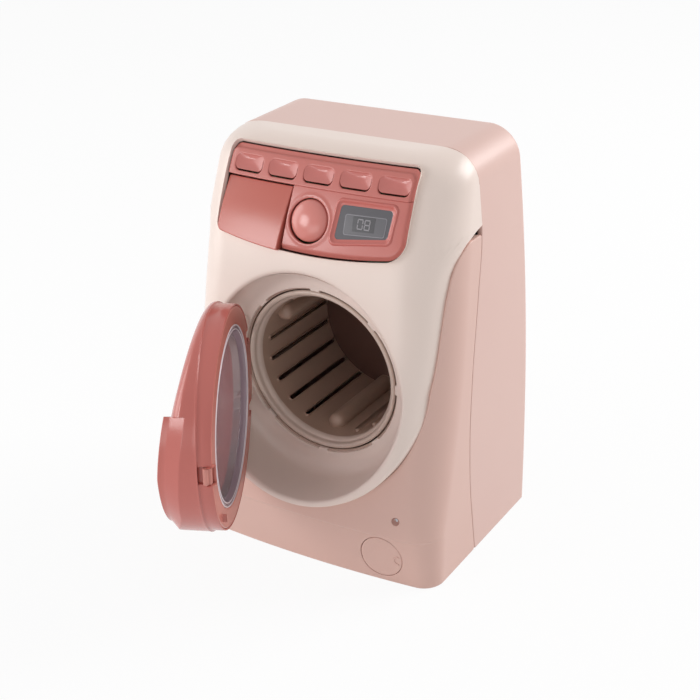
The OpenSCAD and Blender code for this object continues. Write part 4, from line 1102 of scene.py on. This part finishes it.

# back of the drum: dished disc with a raised hub, coloured dark brown as painted shade
drumBack = [(inner + drum["wall"], 46.0), (inner - 0.2, 45.6), (40, 44.8), (30, 44.2), (20, 43.6), (11, 43.2),
            (9.6, 43.0), (9.2, 42.2), (8.6, 41.6), (6, 41.4), (3.4, 41.4), (3.2, 42.6), (0.05, 42.8)]
points, faces = lathe(drumBack, steps=120)
makePiece("drumDisc", onDrumAxis(points), faces, "paintedShadeDrum", "drum", ["drum_back"], sharpDeg=50)

# collar close behind the mouth, which closes the gap round the lip of the drum; its cream is darkened as
# painted shade
collarPath = [(53.9, -34.2), (52.6, -34.1), (52.35, -33.9), (52.3, -33.4), (52.3, -32.3), (56.4, -32.3)]
points, faces = lathe(collarPath, steps=160)
makePiece("mouthCollar", onDrumAxis(points), faces, "paintedShadeCream", "cabinet", sharpDeg=50)

# two lugs that carry the hinge pin, reaching forward out of the bowl's floor
lug = {"at": (-53.0, -64.1), "rise": 24.0, "half": 2.5, "r": 4.0, "root": -35.3}
lugX, lugY = lug["at"]
lugDeep = lug["root"] - lugY
lugOutline = arcPoints(0, 0, lug["r"], -218, 38, 30)
lugOutline += [(lug["half"], lugDeep), (-lug["half"], lugDeep)]
for side, name in ((-1, "lugLow"), (1, "lugHigh")):
    loops = []
    for inset, z in ((0.5, -3.5), (0.15, -3.35), (0.0, -3.0), (0.0, 3.0), (0.15, 3.35), (0.5, 3.5)):
        ends, sides = 1 - inset / lug["r"], 1 - inset / lugDeep
        loops.append([(lugX + x * ends, lugY + y * (sides if y > 0 else ends), drumZ + side * lug["rise"] + z)
                      for x, y in lugOutline])
    points, faces = ringFaces(loops, capStart=True, capEnd=True)
    makePiece(name, points, faces, "creamAbs", "cabinet", sharpDeg=50, closed=True)
print("drum done")

# door, drawn in its own frame: X to the free side, Y up, Z out of the closed door

door = {"r": 64.9, "low": 0.6, "band": 64.1, "thick": 26.5, "wedge": (6.5, 2.6), "shoulder": (12.6, 9.5),
        "arcAt": 53.4, "bore": 50.0, "inner": (0.0, -46.5, 114.2), "lean": 88.1, "hinge": (-53.0, -64.1, 0.0),
        "open": 64.1,
        "pullFrom": -62, "pullTo": 27, "pullTop": 31.0, "relief": 2.2, "knuckle": 24.0,
        "roomTall": 4.0, "roomSide": 3.5, "roomPin": 4.8, "seat": 52.0, "blend": 10.0,
        "step": (7.5, 3.3), "pullBlend": 14, "pullWide": 5.0, "pullDrop": (9, 5), "pullDropAt": (30, 28),
        "pullProud": 3.6, "crown": 2.1}


def closedDoor(points):
    return np.asarray(points, float) @ turned(door["lean"], "X").T + door["inner"]


def openDoor(points):
    hinge = np.array(door["hinge"])
    return (closedDoor(points) - hinge) @ turned(-door["open"], "Z").T + hinge


def hingeKeep(p):
    # room for the two hinge lugs and the bevel behind the pin, in the frame of the closed door
    q = closedDoor(p) - door["hinge"]
    room = []
    for rise in (-door["knuckle"], door["knuckle"]):
        tall = np.abs(q[:, 2] - drumZ - rise) - door["roomTall"]
        left = np.maximum(q[:, 0] - door["roomSide"], -door["roomPin"] - q[:, 1])
        pin = np.hypot(q[:, 0], q[:, 1]) - door["roomPin"]
        room.append(np.maximum(tall, np.minimum(left, pin)))
    bevel = door["relief"] + (q[:, 0] + q[:, 1]) / math.sqrt(2)
    return np.minimum(np.min(room, axis=0), bevel)


def doorTop(turn):
    # height of the outer face over the arc of the shoulder: thicker towards the bottom
    sine = math.sin(turn)
    return door["thick"] - door["wedge"][0] * sine - door["wedge"][1] * sine ** 2


def doorReach(turn):
    # stretch of the outer circle, which sits a little lower than the window
    r, low = door["r"], door["low"]
    return (-low * math.sin(turn) + math.sqrt(r * r - (low * math.cos(turn)) ** 2)) / r


def reachShare(r):
    # how much of that drop a point of this radius takes, none at the window seat
    return np.clip((r - door["seat"]) / door["blend"], 0, 1)


def doorProfile(turn):
    # section of the door shell at one turn: band, side, shoulder and crown, or the finger pull instead
    degrees = (math.degrees(turn) + 180) % 360 - 180
    sine = math.sin(turn)
    top, radius, band, bore = doorTop(turn), door["r"], door["band"], door["bore"]
    wide, tall = door["shoulder"]
    first = math.acos((radius - door["arcAt"]) / wide)
    crease = top - tall + tall * math.sin(first)
    bandTop = door["step"][0] + door["step"][1] * max(sine, 0) ** 2 * (degrees > 0)
    path = [(band - 1.15, 2.6), (band - 1.15, 0.45), (band - 1.0, 0.15), (band - 0.6, 0.0),
            (band - 0.2, 0.12), (band, 0.45), (band, 5.0), (band, bandTop - 0.5),
            (band + 0.15, bandTop - 0.25), (radius + 0.05, bandTop), (radius + 0.22, bandTop + 0.25),
            (radius + 0.2, bandTop + 0.5), (radius + 0.05, bandTop + 0.85), (radius, bandTop + 1.2)]
    inPull = door["pullFrom"] < degrees <= door["pullTo"]
    standing = ease((degrees - door["pullFrom"]) / door["pullBlend"]) * (1.0 if inPull else 0.0)
    (drop, less), (lessFrom, lessOver) = door["pullDrop"], door["pullDropAt"]
    start = top - drop + less * ease((-degrees - lessFrom) / lessOver)
    wallTop = (crease - 0.6) * (1 - standing) + (start - 0.4) * standing
    path += [(radius, z) for z in np.linspace(bandTop + 1.2, wallTop, 6)[1:]]
    arc = [(door["arcAt"] + wide * math.cos(a), top - tall + tall * math.sin(a))
           for a in np.linspace(first + 0.06, math.pi / 2, 16)]
    crown = [(q, top + door["crown"] * (door["arcAt"] - q) / 4.4) for q in (52.3, 51.3, 50.8)]
    lift = min(top + door["pullProud"], door["pullTop"])
    grip = [(radius, start)]
    grip += [(radius - door["pullWide"] * q, start + (lift - 1.0 - start) * q)
             for q in (0.03, 0.12, 0.25, 0.4, 0.55, 0.7, 0.84)]
    grip += [(60.5, lift - 0.6), (59.9, lift - 0.15), (59.2, lift), (58.3, lift - 0.3), (57.8, lift - 0.9),
             (57.4, top - 0.4), (56.4, top - 0.05), (door["arcAt"], top)]
    path += [tuple(np.array(a) * (1 - standing) + np.array(b) * standing)
             for a, b in zip(arc + crown, grip + crown)]
    end = crown[-1][1]
    return path + [(bore + 0.25, end - 0.1), (bore, end - 0.6), (bore, end - 3), (bore, 14.0), (bore, 9.2)]


def doorColumns():
    # close columns where the finger pull begins and ends
    degrees = [np.arange(-61.9, -48, 1.0), np.arange(-48, 26, 2.0), [26.2, 26.9, 27.05, 28],
               np.arange(30, 298, 2.0)]
    rows = []
    for a in np.radians(np.concatenate(degrees)):
        stretch = doorReach(a) - 1
        row = [(r * (1 + stretch * reachShare(r)), z) for r, z in doorProfile(a)]
        rows.append([(r * math.cos(a), r * math.sin(a), z) for r, z in row])
    shell = np.array(rows)
    return shell.reshape(-1, 3), [(a, d, c, b) for a, b, c, d in wrapFaces(*shell.shape[:2])]


notch = {"y": -1.7, "half": 5.4, "from": 60.8}


def notchKeep(p, high):
    # distance outside the notch for the catch on the free side
    aside = np.abs(p[:, 1] - notch["y"]) - notch["half"]
    return np.maximum(np.maximum(aside, p[:, 2] - high), notch["from"] - p[:, 0])


points, faces = trim(*doorColumns(), hingeKeep, roll=0.1, depth=0.2, steps=2)
points, faces = trim(points, faces, lambda p: notchKeep(p, 7.4), roll=0.25, depth=2.6, steps=3)
makePiece("doorShell", openDoor(points), faces, "doorAbs", "door", ["door_ring"], sharpDeg=42)

# floor of the notch
loops = [[(x, y, z) for y in (-7.3, 3.9)] for x, z in ((62.2, -0.1), (62.2, 7.9), (60.6, 7.9), (60.6, -0.1))]
points, faces = ringFaces(loops, closed=False)
makePiece("notchFloor", openDoor(points), faces, "doorAbs", "door", sharpDeg=30)

# inner ring with a rounded rim, a notch for the catch and a small sunk opening for the screw
ringOut = door["band"] - 1.25
ringPath = [(52.0, 2.6), (52.0, 0.75), (52.12, 0.35), (52.45, 0.1), (52.9, 0.02), (54, 0.0)]
ringPath += [(r, 0.02) for r in np.arange(55.4, 62, 0.4)]
ringPath += [(ringOut - 0.5, 0.1), (ringOut - 0.15, 0.35), (ringOut, 0.8), (ringOut, 2.6)]
points, faces = lathe(ringPath, steps=600)
reach = np.array([doorReach(a) for a in np.arctan2(points[:, 1], points[:, 0])])
points[:, :2] *= (1 + (reach - 1) * reachShare(np.hypot(points[:, 0], points[:, 1])))[:, None]
points, faces = trim(points, [f[::-1] for f in faces], hingeKeep, roll=0.1, depth=0.2, steps=2)
points, faces = trim(points, faces, lambda p: notchKeep(p, 9), roll=0.25, depth=1.6, steps=3)
slit = {"r": 58.9, "turn": math.radians(-45), "half": 0.65, "reach": 1.9, "deep": 2.0}
slotAt = slit["r"] * np.array([math.cos(slit["turn"]), math.sin(slit["turn"])])


def slitKeep(p):
    # distance outside the opening for the screw
    aside, along = p[:, 0] - slotAt[0], p[:, 1] - slotAt[1]
    past = along - np.clip(along, -slit["reach"], slit["reach"])
    return np.where(p[:, 2] < 1, np.hypot(aside, past), 9) - slit["half"]


points, faces = trim(points, faces, slitKeep, roll=0.1, depth=slit["deep"], steps=3)
makePiece("doorInner", openDoor(points), faces, "doorInnerAbs", "door", ["door_inner_ring"],
          sharpDeg=50)

# screw head deep in that opening
head = [(0.01, 3.4), (1.1, 3.4), (1.4, 3.6), (1.5, 4.0), (1.5, 5.0), (0.01, 5.0)]
points, faces = lathe(head, steps=24)
makePiece("doorScrewHead", openDoor(points + [slotAt[0], slotAt[1], 0]), faces, "zincSteel", "door",
          ["door_screw"], sharpDeg=50)

# window: a stepped flange with two rims painted pale as highlights, and a clear dome
flange = [(51.9, 2.9), (51.9, 0.75), (51.75, 0.4), (51.4, 0.3), (51.1, 0.5), (50.95, 1.0), (50.75, 1.1),
          (50.6, 0.7), (50.3, 0.45), (50.0, 0.6), (49.85, 1.1), (49.6, 1.2), (49.45, 0.8), (49.15, 0.6),
          (48.8, 0.75), (48.6, 1.3), (48.5, 2.4), (48.5, 4.2), (49.6, 4.3), (51.9, 4.3), (51.9, 2.9)]
points, faces = lathe(flange, steps=160)
points, faces = trim(points, faces, hingeKeep, roll=0.1, depth=0.5, steps=2)
makePiece("windowFlange", openDoor(points), faces, "flangePs", "door", sharpDeg=45)
for name, r, wide in (("windowRimOuter", 51.45, 0.42), ("windowRimInner", 49.2, 0.3)):
    ring = [(r + wide * math.cos(a), 0.45 + wide * math.sin(a)) for a in np.radians(np.arange(0, 361, 30))]
    points, faces = lathe(ring, steps=160)
    points, faces = trim(points, faces, hingeKeep, roll=0.05, depth=0.1, steps=1)
    makePiece(name, openDoor(points), faces, "paintedHighlightPs", "door", sharpDeg=60)
dome = [(48.5, 4.3), (49.4, 4.3), (49.5, 8.6)]
dome += [(49.4 * math.cos(a), 9 + 7 * math.sin(a)) for a in np.radians(np.linspace(4, 89.9, 22))]
dome += [(47.6 * math.cos(a), 8 + 6 * math.sin(a)) for a in np.radians(np.linspace(89.9, 2, 22))]
dome += [(47.7, 7.6), (48.2, 5.2), (48.5, 4.3)]
points, faces = lathe(dome, steps=160)
makePiece("windowDome", openDoor(points), faces, "clearPs", "door", ["door_window"], sharpDeg=45)

# catch: a small stepped tongue standing in the notch
catchPath = [(61.2, 4.6), (61.2, 0.2), (61.5, 0.02), (63.6, 0.0), (64.0, 0.15), (64.2, 0.6), (64.2, 1.5),
             (64.9, 1.8), (65.6, 2.1), (65.75, 2.6), (65.7, 3.6), (65.4, 4.4), (64.9, 4.7), (63.0, 4.8)]
middleX, middleZ = 63.2, 2.4
loops = []
for y, shrink in ((-6.6, 0.35), (-6.5, 0.12), (-6.2, 0.0), (-1.7, 0.0), (2.8, 0.0), (3.1, 0.12), (3.2, 0.35)):
    scale = 1 - shrink / 3
    loops.append([(middleX + (x - middleX) * scale, y, middleZ + (z - middleZ) * scale)
                  for x, z in catchPath])
points, faces = ringFaces(loops, capStart=True, capEnd=True)
makePiece("catchTongue", openDoor(points), faces, "catchAbs", "door", ["door_catch"], sharpDeg=50,
          closed=True)
print("door done")

# filter cover on the plinth and the two sunk front screws


def onFront(x, z, proud):
    # points over the pink front, standing out of it by so much
    x, z, proud = np.broadcast_arrays(np.asarray(x, float), np.asarray(z, float), np.asarray(proud, float))
    return np.stack([x, pinkFront(x, z) - proud, z], -1)


def roundCap(name, x, z, path, material, stands=()):
    # round cap on the pink front, from (radius, height) pairs
    loops = [onFront(circle[:, 0] * r + x, circle[:, 1] * r + z, h) for r, h in path]
    points, faces = ringFaces(loops, capEnd=True)
    makePiece(name, points, faces, material, "cabinet", stands, sharpDeg=60)


coverPath = [(13.45, -2.0), (13.45, -0.5), (13.3, -0.2), (12.9, -0.02), (12.4, 0.0), (8, 0.05), (4, 0.05),
             (0.3, 0.05)]
roundCap("filterLid", filterX, filterZ, coverPath, "frontAbs", ["filter_cover"])
tab = {"x": filterX + 11.0, "z": filterZ, "r": 2.6, "wire": 0.55}
loops = []
for a in np.radians(np.linspace(78, 282, 20)):
    middle = np.array([tab["x"] + tab["r"] * math.cos(a), tab["z"] + tab["r"] * math.sin(a)])
    out = np.array([math.cos(a), math.sin(a)])
    ring = [(middle + out * tab["wire"] * math.cos(t), tab["wire"] * math.sin(t))
            for t in np.radians(np.arange(0, 360, 36))]
    loops.append([onFront(q[0], q[1], 0.1 + h).tolist() for q, h in ring])
points, faces = ringFaces(loops, capStart=True, capEnd=True)
makePiece("filterTab", points, faces, "frontAbs", "cabinet", sharpDeg=60)
# caps over the sunk front screws, painted a darker brownish pink as the shade in their wells
sunkPath = [(2.55, -1.9), (2.5, -0.2), (2.3, -0.08), (1.8, -0.12), (1.3, -0.32), (0.1, -0.38)]
roundCap("screwCapLeft", -screwX, screwZ, sunkPath, "paintedShadeFront")
roundCap("screwCapRight", screwX, screwZ, sunkPath, "paintedShadeFront")
print("plinth details done")

# parts that keep their plain shape get real finishes

carried = {
    "frontAbs": ["base_plate", "battery_door", "filter_cover"],
    "shadedDrumAbs": ["drum_shell", "drum_back"],
    "doorAbs": ["door_ring"],
    "doorInnerAbs": ["door_inner_ring"],
    "catchAbs": ["door_catch"],
    "drawerAbs": ["drawer_front"],
    "panelAbs": ["control_panel"],
    "bezelAbs": ["display_bezel"],
    "keyAbs": ["programme_key_%d" % n for n in range(1, 6)],
    "buttonAbs": ["start_button"],
    "labelFilm": ["display_label"],
    "digitInk": ["display_digits"],
    "clearPs": ["door_window"],
    "acetal": ["gear_plate", "motor_bracket", "drum_gear", "middle_gear", "motor_gear", "drawer_tray"],
    "blackPs": ["battery_box", "key_switches", "speaker"],
    "footRubber": ["rubber_feet"],
    "cellWrap": ["battery_cells"],
    "boardLacquer": ["circuit_board"],
    "motorCan": ["motor"],
    "zincSteel": ["middle_gear_pin", "battery_contacts", "battery_door_screw", "casing_screws", "hinge_pin",
                  "drum_axle", "door_screw"],
}
for finish, names in carried.items():
    for name in names:
        materials = nodes[name].data.materials
        materials.clear()
        materials.append(paint[finish])
print("carried parts finished")

# floor, lights and camera

studio = {"floorHalf": 6.0, "floorGlow": 0.92, "sky": 0.48, "lens": 71.625, "azimuth": 32.655, "rise": 25.624,
          "roll": -2.385, "distance": 0.860601, "aim": (-0.000356, 0.0, 0.113882)}


def seenDirectly(tree):
    # 1 for rays from the camera, through glass or off a gloss, 0 for the rest
    ray = put(tree, "ShaderNodeLightPath")
    seen = ray.outputs["Is Camera Ray"]
    for kind in ("Is Transmission Ray", "Is Glossy Ray"):
        seen = put(tree, "ShaderNodeMath", {"operation": "MAXIMUM"}, n0=seen, n1=ray.outputs[kind]).outputs[0]
    return seen


def paleFloor():
    made = bpy.data.materials.new("paleFloor")
    made.use_nodes = True
    tree = made.node_tree
    tree.nodes.clear()
    matt = put(tree, "ShaderNodeBsdfDiffuse", None, Color=(0.86, 0.86, 0.86, 1))
    glow = put(tree, "ShaderNodeEmission", None, Color=(1, 1, 1, 1), Strength=1.0)
    share = put(tree, "ShaderNodeMath", {"operation": "MULTIPLY"},
                n0=seenDirectly(tree), n1=studio["floorGlow"])
    both = put(tree, "ShaderNodeMixShader", None, n0=share.outputs[0], n1=matt.outputs[0], n2=glow.outputs[0])
    put(tree, "ShaderNodeOutputMaterial", None, Surface=both.outputs[0])
    return made


floorMesh = bpy.data.meshes.new("floor")
wide = studio["floorHalf"]
floorCorners = [(-wide, -wide, 0), (wide, -wide, 0), (wide, wide, 0), (-wide, wide, 0)]
floorMesh.from_pydata(floorCorners, [], [(0, 1, 2, 3)])
floor = bpy.data.objects.new("floor", floorMesh)
floor.location.z = -0.0002
bpy.context.scene.collection.objects.link(floor)
floorMesh.materials.append(paleFloor())

world = bpy.data.worlds.new("studio")
bpy.context.scene.world = world
world.use_nodes = True
tree = world.node_tree
tree.nodes.clear()
seen = seenDirectly(tree)
fill = put(tree, "ShaderNodeBackground", None, Color=(1, 1, 1, 1), Strength=studio["sky"])
white = put(tree, "ShaderNodeBackground", None, Color=(1, 1, 1, 1), Strength=1.0)
both = put(tree, "ShaderNodeMixShader", None, n0=seen, n1=fill.outputs[0], n2=white.outputs[0])
put(tree, "ShaderNodeOutputWorld", None, Surface=both.outputs[0])

lampAim = (0, 0, 0.13)
lamps = {
    "leftLamp": {"spot": (-1.5, -0.55, 0.55), "size": (0.9, 1.3), "power": 8.3},
    "keyLamp": {"spot": (-0.95, -1.25, 0.65), "size": (0.5, 0.5), "power": 5.8},
    "lowLamp": {"spot": (-0.15, -1.5, 0.3), "size": (0.9, 0.5), "power": 2.4},
    "rearLamp": {"spot": (0.9, 1.0, 1.0), "size": (0.9, 0.9), "power": 17.0},
}
for name, look in lamps.items():
    lamp = bpy.data.lights.new(name, "AREA")
    lamp.shape = "RECTANGLE"
    lamp.size, lamp.size_y = look["size"]
    lamp.energy = look["power"]
    holder = bpy.data.objects.new(name, lamp)
    holder.location = look["spot"]
    holder.rotation_euler = (Vector(lampAim) - Vector(look["spot"])).to_track_quat("-Z", "Y").to_euler()
    bpy.context.scene.collection.objects.link(holder)

turnAz, turnEl, turnRoll = (math.radians(studio[k]) for k in ("azimuth", "rise", "roll"))
level = math.cos(turnEl)
backward = Vector((math.sin(turnAz) * level, -math.cos(turnAz) * level, math.sin(turnEl)))
rightward = Vector((math.cos(turnAz), math.sin(turnAz), 0))
upward = backward.cross(rightward)
rightRolled = rightward * math.cos(turnRoll) + upward * math.sin(turnRoll)
upRolled = upward * math.cos(turnRoll) - rightward * math.sin(turnRoll)
camera = bpy.data.objects.new("camera", bpy.data.cameras.new("camera"))
camera.data.lens = studio["lens"]
camera.data.sensor_width = 36
camera.data.clip_start = 0.02
camera.data.clip_end = 50
basis = Matrix((rightRolled, upRolled, backward)).transposed().to_4x4()
basis.translation = Vector(studio["aim"]) + backward * studio["distance"]
camera.matrix_world = basis
bpy.context.scene.collection.objects.link(camera)
bpy.context.scene.camera = camera
bpy.context.scene.view_settings.view_transform = "Standard"
print("scene ready")
